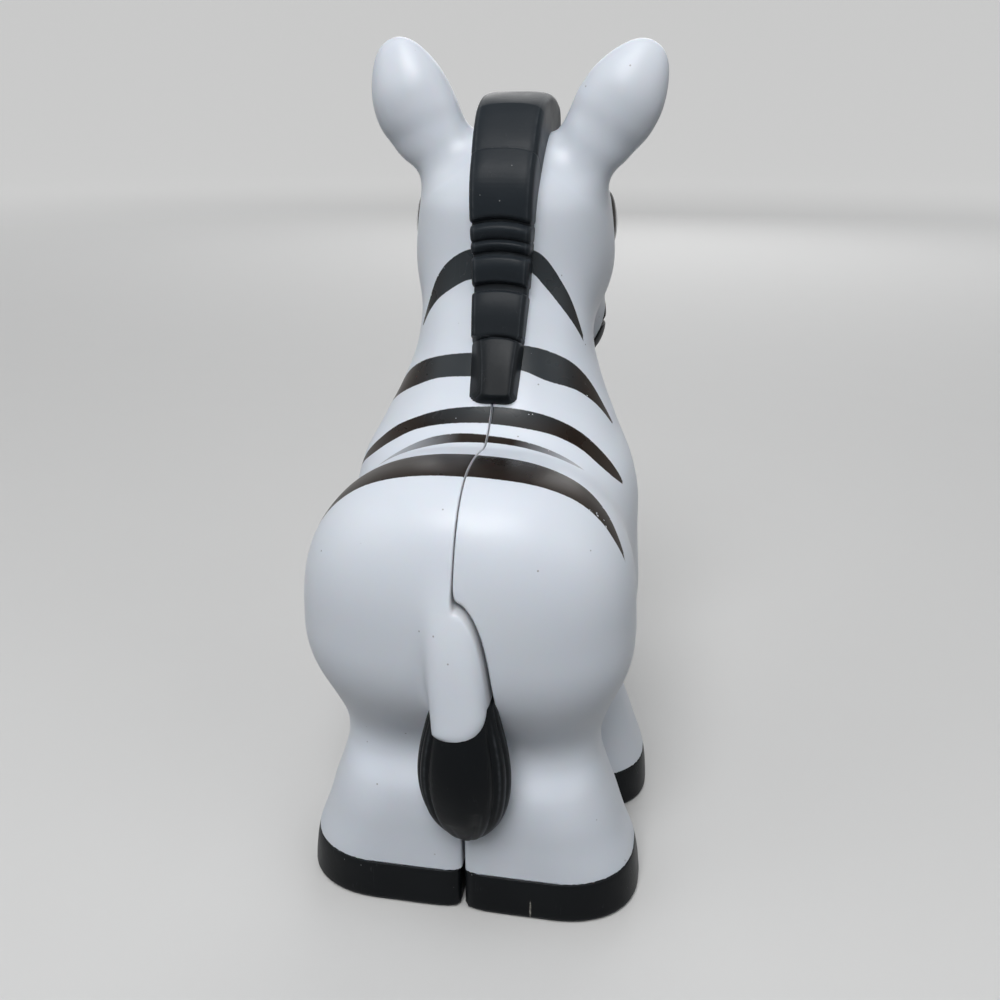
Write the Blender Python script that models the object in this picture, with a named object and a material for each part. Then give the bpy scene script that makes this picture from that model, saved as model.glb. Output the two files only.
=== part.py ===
"""Toy zebra figure: two moulded half shells with black moulded pieces trapped between them.

Units are metres, +Z is up and the toy faces -Y. Its left side is +X. The toy stands on its
hooves at z = 0, and the origin is the centre of its outer box, on the ground.

The white body is one rounded form, cut by a parting plane into two hollow halves. The form is
worked out as a field: a number for each point that is negative inside, zero on the surface
and about the distance to the surface near it. Single forms (rump, chest, legs, neck, head, ears)
are fields too, and a blend of two fields gives the soft fillet where they meet.
Inside these functions a place is (x, forward, z), where forward is counted from the heels of
the rear hooves towards the nose.
"""

import math

import bmesh
import bpy
import numpy as np

MM = 0.001

# Fits
GAP = 0.30 * MM
SEAT_GAP = 0.42 * MM
WALL = 2.4 * MM
OVERRUN = 6.0 * MM

# Fineness of the meshes
SKIN_CELL = 1.7 * MM
SEAT_CELL = 1.2 * MM
CORE_CELL = 2.3 * MM
HOOF_SIDES = 40
ROD_SIDES = 18
SPIGOT_SIDES = 24
POCKET_TURNS = 12
BEAD_ROWS = 10
BEAD_SIDES = 22
SEARCH_STEPS = 400
GRID_SHIFT_SHARES = (0.0, 0.37, 0.61, 0.19, 0.83, 0.5)
SETTLE_TURNS = 3
SETTLE_SHARE = 0.18
POLE_SHARE = 0.02
WELD_SHARE = 0.01
SHARP_ANGLE = math.radians(40.0)

# Colours and roughness
WHITE = (0.80, 0.82, 0.86)
BLACK = (0.022, 0.026, 0.032)
EYE_WHITE = (0.85, 0.85, 0.84)
WHITE_ROUGHNESS = 0.35
BLACK_ROUGHNESS = 0.42
EYE_ROUGHNESS = 0.15

# Hooves and legs. A row of the tables is: height, centre out from the parting plane,
# half width, forward shift, reach to the rear, reach to the front.
HOOF_SPAN = 40.4 * MM
HOOF_HEIGHT = 5.5 * MM
HOOF_EDGE = 0.5 * MM
SPIGOT_HEIGHT = 3.6 * MM
LEG_HEIGHT = 40.0 * MM
REAR_FOOT_LENGTH = 15.0 * MM
FRONT_FOOT_LENGTH = 14.5 * MM
FRONT_HEEL = 20.0 * MM
REAR_HEEL_SHARE = 0.587
FRONT_HEEL_SHARE = 0.552
LEG_SHIFT = 1.2 * MM
LEG_MEET = 0.5 * MM
REAR_LEG_SHARES = (
    (-0.075, 1.00, 1.00, 0.00, 1.00, 1.00),
    (0.000, 1.00, 1.00, 0.00, 1.00, 1.00),
    (0.138, 0.96, 0.96, 0.00, 0.98, 0.98),
    (0.275, 0.86, 0.86, 0.00, 0.88, 0.92),
    (0.475, 0.73, 0.75, 0.00, 0.68, 0.86),
    (0.650, 0.75, 0.77, 0.17, 0.75, 1.00),
    (0.825, 0.78, 0.78, 1.00, 0.85, 1.13),
    (1.000, 0.78, 0.53, 1.00, 0.63, 1.13),
)
FRONT_LEG_SHARES = (
    (-0.075, 1.00, 1.00, 0.00, 1.00, 1.00),
    (0.000, 1.00, 1.00, 0.00, 1.00, 1.00),
    (0.138, 0.97, 0.97, 0.00, 0.99, 0.98),
    (0.275, 0.88, 0.88, 0.00, 0.89, 0.92),
    (0.475, 0.75, 0.77, 0.00, 0.70, 0.86),
    (0.650, 0.78, 0.82, 0.00, 0.75, 0.95),
    (0.825, 0.78, 0.75, 0.00, 0.81, 1.00),
    (1.000, 0.78, 0.49, 0.00, 0.75, 0.92),
)
INNER_POWER = 9.0
HEEL_POWER = 2.3
REAR_TOE_POWER = 3.2
FRONT_TOE_POWER = 2.8

# Rump and chest
RUMP_WIDTH_SHARE = 0.916
CHEST_WIDTH_SHARE = 0.866
RUMP_WIDTH = HOOF_SPAN * RUMP_WIDTH_SHARE
RUMP_LENGTH = 23.0 * MM
RUMP_RISE = 17.4 * MM
RUMP_DROP = 12.6 * MM
RUMP_SINK = 4.4 * MM
RUMP_CENTRE_HEIGHT = LEG_HEIGHT - RUMP_SINK
RUMP_OVERHANG = 2.5 * MM
CHEST_WIDTH = HOOF_SPAN * CHEST_WIDTH_SHARE
CHEST_LENGTH = 28.0 * MM
CHEST_DEPTH = 33.0 * MM
CHEST_SINK = 4.0 * MM
CHEST_CENTRE_HEIGHT = LEG_HEIGHT - CHEST_SINK
CHEST_FRONT = 38.0 * MM
RUMP_POWER = 2.5
CHEST_POWER = 2.9
CHEST_END_POWER = 2.4
# The rump stands a little to the left of the parting plane.
RUMP_SWAY = 0.5 * MM
SWAY_HEIGHT = 12.0 * MM
SWAY_LENGTH = 16.0 * MM

# Neck. A row is: height, half width, forward place, half length.
NECK_SINK = 10.0 * MM
NECK_FOOT_HEIGHT = LEG_HEIGHT - NECK_SINK
NECK_RISE = 48.0 * MM
NECK_TOP_HEIGHT = NECK_FOOT_HEIGHT + NECK_RISE
NECK_FOOT_FORWARD = 26.0 * MM
NECK_TOP_FORWARD = 38.3 * MM
NECK_WIDTH = 21.2 * MM
NECK_LENGTH = 18.0 * MM
NECK_SHARES = (
    (0.000, 1.13, 0.00, 1.00),
    (0.167, 1.38, 0.09, 1.28),
    (0.292, 1.56, 0.14, 1.37),
    (0.375, 1.52, 0.17, 1.40),
    (0.458, 1.35, 0.27, 1.30),
    (0.542, 1.17, 0.43, 1.17),
    (0.625, 1.04, 0.57, 1.07),
    (0.708, 1.00, 0.70, 1.02),
    (0.833, 1.00, 0.88, 1.00),
    (1.000, 0.96, 1.00, 1.00),
)
NECK_POWER = 2.3
# The neck stands a little to the left of the parting plane.
NECK_SWAY = 0.5 * MM

# Head and muzzle
HEAD_WIDTH = 23.4 * MM
HEAD_LENGTH = 22.0 * MM
HEAD_HEIGHT = 23.6 * MM
HEAD_DROP = 4.4 * MM
HEAD_CENTRE_HEIGHT = NECK_TOP_HEIGHT - HEAD_DROP
HEAD_LEAD = 1.5 * MM
HEAD_CENTRE_FORWARD = NECK_TOP_FORWARD + HEAD_LEAD
MUZZLE_WIDTH = 25.4 * MM
MUZZLE_LENGTH = 16.6 * MM
MUZZLE_HEIGHT = 15.6 * MM
MUZZLE_DROP = 13.3 * MM
MUZZLE_REACH = 8.4 * MM
CHEEK_WIDTH = 23.6 * MM
CHEEK_LENGTH = 17.0 * MM
CHEEK_HEIGHT = 15.0 * MM
CHEEK_DROP = 5.6 * MM
CHEEK_REACH = 2.2 * MM
HEAD_POWER = 2.2
# The head stands a little to the left of the parting plane and is turned a little to the left.
HEAD_SWAY = 0.2 * MM
HEAD_TURN = math.radians(6.0)
# The black front of the muzzle is a cap behind a leaning cut.
CAP_FACE_REACH = 6.2 * MM
CAP_FACE_LEAN = math.radians(24.0)
CAP_SPIGOT_WIDTH = 11.0 * MM
CAP_SPIGOT_HEIGHT = 6.0 * MM
CAP_SPIGOT_LENGTH = 4.0 * MM
NOSTRIL_SPACING = 8.4 * MM
NOSTRIL_WIDTH = 2.6 * MM
NOSTRIL_HEIGHT = 3.4 * MM
NOSTRIL_DEPTH = 1.6 * MM
NOSTRIL_RISE = math.radians(14.0)
CHIN_DEPTH = 2.0 * MM

# Ears
EAR_LENGTH = 14.1 * MM
EAR_WIDTH = 9.3 * MM
EAR_THICKNESS = 5.4 * MM
EAR_SPACING = 24.9 * MM
EAR_RISE = 14.8 * MM
EAR_SET_BACK = 3.6 * MM
EAR_TILT = math.radians(25.0)
# Both ears lean a little to the right.
EAR_ROLL = math.radians(6.0)
EAR_TAPER_SHARE = 0.3
EAR_POWER = 2.2
EAR_STEM_RADIUS = 3.9 * MM
EAR_STEM_SPREAD = 5.2 * MM
EAR_STEM_HEIGHT = 7.6 * MM
EAR_STEM_FLATNESS_SHARE = 0.75
EAR_DISH_WIDTH = 6.4 * MM
EAR_DISH_LENGTH = 10.0 * MM
EAR_DISH_DEPTH = 3.4 * MM
EAR_DISH_FORWARD = 4.4 * MM

# Eyes
EYE_WIDTH = 6.2 * MM
EYE_HEIGHT = 8.2 * MM
EYE_DEPTH = 3.0 * MM
EYE_TURN = math.radians(77.0)
EYE_LIFT = math.radians(2.0)
EYE_SINK = 0.8 * MM

# Tail and tuft
TAIL_SIDE = 1.1 * MM
TAIL_WIDTH = 6.1 * MM
TAIL_THICKNESS = 5.0 * MM
TAIL_LENGTH = 13.8 * MM
TAIL_LIFT = 1.0 * MM
TAIL_TOP = LEG_HEIGHT + TAIL_LIFT
TAIL_FOOT = TAIL_TOP - TAIL_LENGTH
TAIL_TOP_BACK = 1.3 * MM
TAIL_FOOT_BACK = 3.1 * MM
TAIL_POWER = 2.6
TAIL_CROWN = 10.5 * MM
TAIL_CROWN_POWER = 1.7
TAIL_POCKET_MARGIN = 0.3 * MM
TAIL_POCKET_DEPTH = 4.0 * MM
TUFT_LENGTH = 19.0 * MM
TUFT_LAP = 3.3 * MM
TUFT_WIDTH = 10.2 * MM
TUFT_THICKNESS = 6.8 * MM
TUFT_BACK = 5.9 * MM
TUFT_SIDES = 36
TUFT_GROOVES = 9
TUFT_GROOVE_SHARE = 0.07
TUFT_KEY_SHARE = 0.72
# A row is: share of the length down, share of the width, forward shift as a share.
TUFT_SHARES = (
    (0.00, 0.62, 0.20),
    (0.06, 0.71, 0.12),
    (0.18, 0.84, 0.04),
    (0.32, 0.95, 0.00),
    (0.46, 1.00, 0.00),
    (0.60, 0.97, 0.08),
    (0.74, 0.85, 0.24),
    (0.86, 0.64, 0.50),
    (0.94, 0.41, 0.72),
    (1.00, 0.12, 0.92),
)
TUFT_SHIFT = 3.0 * MM

# Mane. A row is: share of the path, share of the crest height. Steps in it part the locks.
MANE_RISE = 25.8 * MM
MANE_FOOT_HEIGHT = NECK_FOOT_HEIGHT + MANE_RISE
MANE_FOOT_WIDTH = 5.5 * MM
MANE_TOP_WIDTH = 9.2 * MM
MANE_CREST = 3.4 * MM
MANE_EDGE = 0.6 * MM
MANE_SINK = 1.6 * MM
MANE_END_ANGLE = math.radians(62.0)
MANE_RINGS = 64
NECK_PATH_SHARE = 0.52
MANE_STEPS = 24
LOCK_SHARES = (
    (0.000, 0.34),
    (0.014, 0.56),
    (0.168, 0.62),
    (0.182, 0.44),
    (0.196, 0.60),
    (0.300, 0.68),
    (0.314, 0.42),
    (0.350, 0.46),
    (0.362, 0.70),
    (0.412, 0.72),
    (0.424, 0.48),
    (0.438, 0.52),
    (0.446, 0.68),
    (0.458, 0.54),
    (0.476, 0.58),
    (0.484, 0.76),
    (0.502, 0.76),
    (0.512, 0.60),
    (0.567, 0.88),
    (0.615, 1.06),
    (0.664, 1.20),
    (0.670, 1.14),
    (0.714, 1.27),
    (0.766, 1.35),
    (0.823, 1.28),
    (0.940, 1.06),
    (0.984, 0.78),
    (1.000, 0.40),
)

# Keys that trap the mane and the tuft in the parting plane, and the pegs that join the halves
KEY_THICKNESS = 2.6 * MM
KEY_DEPTH = 3.2 * MM
KEY_INSET = 4.0 * MM
KEY_RINGS = 20
RIB_WALL = 1.6 * MM
BOSS_RADIUS = 2.7 * MM
PEG_RADIUS = 1.5 * MM
PEG_LENGTH = 3.6 * MM

# Fillets where two forms meet
TORSO_BLEND = 5.0 * MM
LEG_BLEND = 5.0 * MM
NECK_BLEND = 3.0 * MM
HEAD_BLEND = 3.5 * MM
MUZZLE_BLEND = 5.0 * MM
EAR_BLEND = 2.5 * MM
EAR_RIM_BLEND = 0.8 * MM
TAIL_BLEND = 0.9 * MM
END_BLEND = 2.0 * MM

NOSE_FORWARD = HEAD_CENTRE_FORWARD + MUZZLE_REACH + MUZZLE_LENGTH / 2
MIDDLE_FORWARD = (NOSE_FORWARD - TUFT_BACK) / 2
RUMP_CENTRE_FORWARD = RUMP_LENGTH / 2 - RUMP_OVERHANG
CHEST_CENTRE_FORWARD = CHEST_FRONT - CHEST_LENGTH / 2
EAR_CENTRE_HEIGHT = HEAD_CENTRE_HEIGHT + EAR_RISE
EAR_FORWARD = HEAD_CENTRE_FORWARD - EAR_SET_BACK
PART_PLANE = GAP / 2
TINY = 1e-9


def world(x, forward, z):
    """A place of the forms, as a place in the part's frame."""
    return (x, MIDDLE_FORWARD - forward, z)


# Fields


def blend(one, other, radius):
    """The union of two fields, with a fillet of about the given radius."""
    mix = np.clip(0.5 + 0.5 * (other - one) / radius, 0.0, 1.0)
    return other * (1 - mix) + one * mix - radius * mix * (1 - mix)


def limit(one, other, radius):
    """The common part of two fields, with its edge rounded."""
    return -blend(-one, -other, radius)


def curve(place, places, values):
    """A smooth curve through the rows of a table, with its slope at each row from its neighbours."""
    steps = np.diff(places)
    rises = np.diff(values) / steps
    slopes = np.concatenate([rises[:1], rises, rises[-1:]])
    slopes = (slopes[:-1] + slopes[1:]) / 2
    row = np.clip(np.searchsorted(places, place) - 1, 0, len(steps) - 1)
    share = np.clip((place - places[row]) / steps[row], 0.0, 1.0)
    rest = 1 - share
    ends = values[row] * (1 + 2 * share) * rest**2 + values[row + 1] * (3 - 2 * share) * share**2
    return ends + steps[row] * share * rest * (slopes[row] * rest - slopes[row + 1] * share)


def oval_field(across, along, half_across, half_along, power):
    """Distance to a superellipse: round for power 2, squarer above."""
    u = np.abs(across / half_across) + TINY
    v = np.abs(along / half_along) + TINY
    radius = (u**power + v**power) ** (1 / power)
    slope = np.hypot((u / radius) ** (power - 1) / half_across, (v / radius) ** (power - 1) / half_along)
    return (radius - 1) / slope


def egg_field(offset, half, power, end_power):
    """Distance to an egg: a superellipse across (x and z), closed forward and back by another."""
    x, forward, z = (np.abs(part / size) + TINY for part, size in zip(offset, half))
    section = (x**power + z**power) ** (1 / power)
    radius = (section**end_power + forward**end_power) ** (1 / end_power)
    lean = (section / radius) ** (end_power - 1)
    slope = np.sqrt(
        (lean * (x / section) ** (power - 1) / half[0]) ** 2
        + (lean * (z / section) ** (power - 1) / half[2]) ** 2
        + ((forward / radius) ** (end_power - 1) / half[1]) ** 2
    )
    return (radius - 1) / slope


def leg_rows(shares, heel, foot_length, heel_share):
    """The table of a leg in metres: height, centre, half width, forward place, reaches."""
    rows = np.array(shares)
    quarter = HOOF_SPAN / 4
    return (
        rows[:, 0] * LEG_HEIGHT,
        rows[:, 1] * quarter,
        rows[:, 2] * quarter,
        heel + heel_share * foot_length + rows[:, 3] * LEG_SHIFT,
        rows[:, 4] * heel_share * foot_length,
        rows[:, 5] * (1 - heel_share) * foot_length,
    )


REAR_LEG = leg_rows(REAR_LEG_SHARES, 0.0, REAR_FOOT_LENGTH, REAR_HEEL_SHARE)
FRONT_LEG = leg_rows(FRONT_LEG_SHARES, FRONT_HEEL, FRONT_FOOT_LENGTH, FRONT_HEEL_SHARE)


def leg_field(side, forward, z, rows, toe_power):
    """A leg is a stack of sections with a flat inner face, a round heel and a squarer toe."""
    centre, half, middle, heel, toe = (curve(z, rows[0], column) for column in rows[1:])
    behind = forward < middle
    outer = np.where(behind, HEEL_POWER, toe_power)
    power = np.where(side < centre, INNER_POWER, outer)
    half = np.where(side < centre, half + LEG_MEET, half)
    column = oval_field(side - centre, forward - middle, half, np.where(behind, heel, toe), power)
    ends = np.maximum(rows[0][0] - z, z - rows[0][-1])
    return limit(column, ends, END_BLEND)


def neck_field(x, forward, z):
    """The neck is a stack of ovals that lean forward and flare into the shoulders."""
    rows = np.array(NECK_SHARES)
    heights = NECK_FOOT_HEIGHT + rows[:, 0] * (NECK_TOP_HEIGHT - NECK_FOOT_HEIGHT)
    half_width = curve(z, heights, rows[:, 1] * NECK_WIDTH / 2)
    places = NECK_FOOT_FORWARD + rows[:, 2] * (NECK_TOP_FORWARD - NECK_FOOT_FORWARD)
    middle = curve(z, heights, places)
    half_length = curve(z, heights, rows[:, 3] * NECK_LENGTH / 2)
    column = oval_field(x - NECK_SWAY, forward - middle, half_width, half_length, NECK_POWER)
    ends = np.maximum(heights[0] - z, z - heights[-1])
    return limit(column, ends, NECK_BLEND)


def head_field(x, forward, z, soft):
    x = x - HEAD_SWAY
    ahead = forward - EAR_FORWARD
    forward = EAR_FORWARD + ahead * math.cos(HEAD_TURN) + x * math.sin(HEAD_TURN)
    x = x * math.cos(HEAD_TURN) - ahead * math.sin(HEAD_TURN)
    head = egg_field(
        (x, forward - HEAD_CENTRE_FORWARD, z - HEAD_CENTRE_HEIGHT),
        (HEAD_WIDTH / 2, HEAD_LENGTH / 2, HEAD_HEIGHT / 2),
        HEAD_POWER,
        HEAD_POWER,
    )
    muzzle = egg_field(
        (
            x,
            forward - HEAD_CENTRE_FORWARD - MUZZLE_REACH,
            z - HEAD_CENTRE_HEIGHT + MUZZLE_DROP,
        ),
        (MUZZLE_WIDTH / 2, MUZZLE_LENGTH / 2, MUZZLE_HEIGHT / 2),
        HEAD_POWER,
        HEAD_POWER,
    )
    cheeks = egg_field(
        (x, forward - HEAD_CENTRE_FORWARD - CHEEK_REACH, z - HEAD_CENTRE_HEIGHT + CHEEK_DROP),
        (CHEEK_WIDTH / 2, CHEEK_LENGTH / 2, CHEEK_HEIGHT / 2),
        HEAD_POWER,
        HEAD_POWER,
    )
    return blend(blend(head, cheeks, MUZZLE_BLEND + soft), muzzle, MUZZLE_BLEND + soft)


def ear_field(x, forward, z):
    """An ear is a flat egg leaning outwards on a stem, wider at its foot and dished on its front face."""
    side = np.abs(x)
    out = side - EAR_SPACING / 2
    up = z - EAR_CENTRE_HEIGHT
    tilt = EAR_TILT - np.sign(x) * EAR_ROLL
    across = out * np.cos(tilt) - up * np.sin(tilt)
    along = out * np.sin(tilt) + up * np.cos(tilt)
    spread = 1 - EAR_TAPER_SHARE * np.clip(along / EAR_LENGTH, -0.5, 0.5)
    depth = forward - EAR_FORWARD
    leaf_half = (EAR_WIDTH / 2, EAR_THICKNESS / 2, EAR_LENGTH / 2)
    leaf = egg_field((across / spread, depth, along), leaf_half, EAR_POWER, 2.0)
    root_side = side - EAR_SPACING / 2 + EAR_STEM_SPREAD
    root_up = up + EAR_STEM_HEIGHT
    stem_square = EAR_STEM_SPREAD**2 + EAR_STEM_HEIGHT**2
    share = np.clip((root_side * EAR_STEM_SPREAD + root_up * EAR_STEM_HEIGHT) / stem_square, 0.0, 1.0)
    stem = np.sqrt(
        (root_side - share * EAR_STEM_SPREAD) ** 2
        + (depth / EAR_STEM_FLATNESS_SHARE) ** 2
        + (root_up - share * EAR_STEM_HEIGHT) ** 2
    )
    ear = blend(leaf, stem - EAR_STEM_RADIUS, END_BLEND)
    dish_half = (EAR_DISH_WIDTH / 2, EAR_DISH_DEPTH, EAR_DISH_LENGTH / 2)
    dish = egg_field((across, depth - EAR_DISH_FORWARD, along), dish_half, 2.0, 2.0)
    return limit(ear, -dish, EAR_RIM_BLEND)


def trunk_field(x, forward, z, soft=0.0):
    """The white form without its ears and tail. All fillets can be made wider by a soft amount."""
    height_share = (z - RUMP_CENTRE_HEIGHT) / SWAY_HEIGHT
    length_share = (forward - RUMP_CENTRE_FORWARD) / SWAY_LENGTH
    x = x - RUMP_SWAY * np.exp(-(height_share**2) - length_share**2)
    side = np.abs(x)
    below = z < RUMP_CENTRE_HEIGHT
    rump_half = (RUMP_WIDTH / 2, RUMP_LENGTH / 2, np.where(below, RUMP_DROP, RUMP_RISE))
    rump = egg_field(
        (x, forward - RUMP_CENTRE_FORWARD, z - RUMP_CENTRE_HEIGHT), rump_half, RUMP_POWER, RUMP_POWER
    )
    chest = egg_field(
        (x, forward - CHEST_CENTRE_FORWARD, z - CHEST_CENTRE_HEIGHT),
        (CHEST_WIDTH / 2, CHEST_LENGTH / 2, CHEST_DEPTH / 2),
        CHEST_POWER,
        CHEST_END_POWER,
    )
    field = blend(rump, chest, TORSO_BLEND + soft)
    field = blend(field, leg_field(side, forward, z, REAR_LEG, REAR_TOE_POWER), LEG_BLEND + soft)
    field = blend(field, leg_field(side, forward, z, FRONT_LEG, FRONT_TOE_POWER), LEG_BLEND + soft)
    field = blend(field, neck_field(x, forward, z), NECK_BLEND + soft)
    return blend(field, head_field(x, forward, z, soft), HEAD_BLEND + soft)


def body_field(x, forward, z):
    """The white form without its tail."""
    return blend(trunk_field(x, forward, z), ear_field(x, forward, z), EAR_BLEND)


def tail_field(x, forward, z):
    """The white tail is a flat rounded bar that leans back as it hangs."""
    half_width = TAIL_WIDTH / 2
    top = TAIL_TOP - TAIL_CROWN
    foot = TAIL_FOOT + half_width
    share = np.clip((TAIL_TOP - z) / (TAIL_TOP - foot), 0.0, 1.0)
    middle = -TAIL_TOP_BACK - share * (TAIL_FOOT_BACK - TAIL_TOP_BACK)
    past = np.maximum(z - top, 0.0) / TAIL_CROWN + np.maximum(foot - z, 0.0) / half_width
    power = np.where(z > top, TAIL_CROWN_POWER, 2.0)
    round_off = np.maximum(1 - past**power, TINY) ** (1 / power)
    section = oval_field(
        x + TAIL_SIDE, forward - middle, half_width * round_off, TAIL_THICKNESS / 2, TAIL_POWER
    )
    return np.maximum(section, (past - 1) * half_width)


def skin_field(x, forward, z):
    """The white form with its tail."""
    return blend(body_field(x, forward, z), tail_field(x, forward, z), TAIL_BLEND)


# Meshes


def new_object(name, points, faces):
    mesh = bpy.data.meshes.new(name)
    mesh.from_pydata([tuple(point) for point in points], [], [tuple(face) for face in faces])
    mesh.validate()
    found = bpy.data.objects.new(name, mesh)
    bpy.context.scene.collection.objects.link(found)
    return found


def net(field, low, high, cell):
    """The surface where a field is zero, as quads.

    The box is filled with a grid. Each grid cell that the surface passes through gets one point, the
    mean of the places where the surface crosses the cell's edges. Each crossed edge gets one
    quad, between the four cells round it.
    """
    low = np.array(low)
    count = np.ceil((np.array(high) - low) / cell).astype(int) + 1
    axes = [low[axis] + cell * np.arange(count[axis]) for axis in range(3)]
    values = field(*np.meshgrid(*axes, indexing="ij"))
    places = np.moveaxis(np.indices(count), 0, -1).astype(float)
    total = np.zeros(tuple(count - 1) + (3,))
    hits = np.zeros(tuple(count - 1))
    quads = []
    for axis in range(3):
        along = np.moveaxis(values, axis, 0)
        start, end = along[:-1], along[1:]
        crossed = (start < 0) != (end < 0)
        share = np.where(crossed, start / np.where(crossed, start - end, 1.0), 0.0)
        points = np.moveaxis(places, axis, 0)[:-1] + share[..., None] * np.eye(3)[axis]
        cell_total = np.moveaxis(total, axis, 0)
        cell_hits = np.moveaxis(hits, axis, 0)
        _, rows, columns = cell_hits.shape
        for row in (0, 1):
            for column in (0, 1):
                part = (slice(None), slice(row, row + rows), slice(column, column + columns))
                cell_total += np.where(crossed[part][..., None], points[part], 0.0)
                cell_hits += crossed[part]
        where, row, column = np.nonzero(crossed[:, 1:-1, 1:-1])
        ring = [(where, row, column), (where, row + 1, column)]
        ring += [(where, row + 1, column + 1), (where, row, column + 1)]
        corners = np.stack([np.stack(corner, -1) for corner in ring], 1)
        order = {0: [0, 1, 2], 1: [1, 0, 2], 2: [1, 2, 0]}[axis]
        corners = corners[..., order]
        leaving = start[where, row + 1, column + 1] < 0
        turned = leaving if axis == 1 else ~leaving
        corners[turned] = corners[turned][:, ::-1]
        quads.append(corners)
    flat = np.ravel_multi_index(np.concatenate(quads).reshape(-1, 3).T, hits.shape)
    used, faces = np.unique(flat, return_inverse=True)
    points = low + cell * total.reshape(-1, 3)[used] / hits.reshape(-1)[used][:, None]
    return points, faces.reshape(-1, 4)


def settle(field, points, step, reach):
    """Moves each point down or up the slope of the field to its surface, no further than the reach."""
    start = points
    for _ in range(SETTLE_TURNS):
        slope = []
        for axis in range(3):
            shift = step * np.eye(3)[axis]
            slope.append((field(*(points + shift).T) - field(*(points - shift).T)) / (2 * step))
        slope = np.stack(slope, -1)
        square = np.maximum((slope**2).sum(-1), TINY)
        points = points - (field(*points.T) / square)[:, None] * slope
        points = start + np.clip(points - start, -reach, reach)
    return points


def touches(faces):
    """Whether two sheets of quads meet along an edge."""
    ends = np.concatenate([np.stack([faces[:, turn], faces[:, turn - 1]], -1) for turn in range(4)])
    return np.unique(np.sort(ends, axis=1), axis=0, return_counts=True)[1].max() > 2


def form(name, field, cell):
    """A closed mesh of the surface of a field. A grid that lets sheets touch is moved by part of a cell."""
    side = max(HOOF_SPAN, RUMP_WIDTH, EAR_SPACING + EAR_LENGTH) / 2 + OVERRUN
    low = np.array((-side, -TUFT_BACK - OVERRUN, REAR_LEG[0][0] - OVERRUN))
    high = np.array((side, NOSE_FORWARD + OVERRUN, EAR_CENTRE_HEIGHT + EAR_LENGTH + OVERRUN))
    for share in GRID_SHIFT_SHARES:
        points, faces = net(field, low - share * cell, high, cell)
        if not touches(faces):
            break
    points = settle(field, points, cell * POLE_SHARE, cell * SETTLE_SHARE)
    corners = points[faces]
    first = np.linalg.norm(corners[:, 0] - corners[:, 2], axis=1)
    second = np.linalg.norm(corners[:, 1] - corners[:, 3], axis=1)
    turned = (first < second)[:, None]
    faces = np.where(turned, np.roll(faces, 1, axis=1), faces)[:, ::-1]
    triangles = np.concatenate([faces[:, [0, 1, 3]], faces[:, [1, 2, 3]]])
    return new_object(name, [world(*point) for point in points], triangles)


def bake(found):
    """Puts the modified shape into the object's own mesh."""
    bpy.context.view_layer.update()
    graph = bpy.context.evaluated_depsgraph_get()
    mesh = bpy.data.meshes.new_from_object(found.evaluated_get(graph))
    found.modifiers.clear()
    found.data = mesh
    return found


def combine(found, tool, operation):
    """A Boolean of two objects; the tool is used up."""
    boolean = found.modifiers.new(operation.lower(), "BOOLEAN")
    boolean.operation = operation
    boolean.solver = "EXACT"
    boolean.object = tool
    bake(found)
    bpy.data.objects.remove(tool)
    return found


def copy_of(found, name):
    other = bpy.data.objects.new(name, found.data.copy())
    bpy.context.scene.collection.objects.link(other)
    return other


def loft(name, rings):
    """A closed solid through rings of as many points each, capped flat at both ends."""
    shape = bmesh.new()
    rows = [[shape.verts.new(world(*point)) for point in ring] for ring in rings]
    count = len(rows[0])
    for lower, upper in zip(rows, rows[1:]):
        for place in range(count):
            after = (place + 1) % count
            shape.faces.new((lower[place], lower[after], upper[after], upper[place]))
    shape.faces.new(list(reversed(rows[0])))
    shape.faces.new(rows[-1])
    bmesh.ops.recalc_face_normals(shape, faces=shape.faces)
    mesh = bpy.data.meshes.new(name)
    shape.to_mesh(mesh)
    shape.free()
    found = bpy.data.objects.new(name, mesh)
    bpy.context.scene.collection.objects.link(found)
    return found


def side_plate(name, outline, low_x, high_x):
    """A plate along X whose side view is the outline, given as (forward, z) points."""
    return loft(name, [[(x, forward, z) for forward, z in outline] for x in (low_x, high_x)])


def rod(name, centre, low_x, high_x, radius):
    """A round rod along X; centre is its (forward, z) place."""
    angles = [2 * math.pi * turn / ROD_SIDES for turn in range(ROD_SIDES)]
    outline = [
        (centre[0] + radius * math.cos(angle), centre[1] + radius * math.sin(angle)) for angle in angles
    ]
    return side_plate(name, outline, low_x, high_x)


def surface_along(start, direction, reach):
    """Distance from an inner point, along a direction, to the surface of the body."""
    steps = np.linspace(0.0, reach, SEARCH_STEPS)
    places = np.array(start)[:, None] + np.array(direction)[:, None] * steps
    values = trunk_field(*places)
    outside = np.nonzero(values > 0)[0]
    last = outside[0] if len(outside) else len(steps) - 1
    inner, outer = values[last - 1], values[last]
    return steps[last - 1] + (steps[last] - steps[last - 1]) * inner / (inner - outer)


# Hooves


def hoof_ring(rows, toe_power, z, section_height, inset, side):
    """The outline of a leg's section at a height, drawn in by an inset, on one side."""
    centre, half, middle, heel, toe = (float(curve(section_height, rows[0], column)) for column in rows[1:])
    points = []
    for turn in range(HOOF_SIDES):
        angle = 2 * math.pi * (turn + 0.5) / HOOF_SIDES
        across, along = math.cos(angle), math.sin(angle)
        outer = HEEL_POWER if along < 0 else toe_power
        power = INNER_POWER if across < 0 else outer
        radius = (abs(across) ** power + abs(along) ** power) ** (-1 / power)
        reach = (heel if along < 0 else toe) - inset
        wide = half - inset + (LEG_MEET if across < 0 else 0.0)
        x = centre + wide * radius * across
        points.append((side * max(x, PART_PLANE + inset), middle + reach * radius * along, z))
    return points


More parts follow.
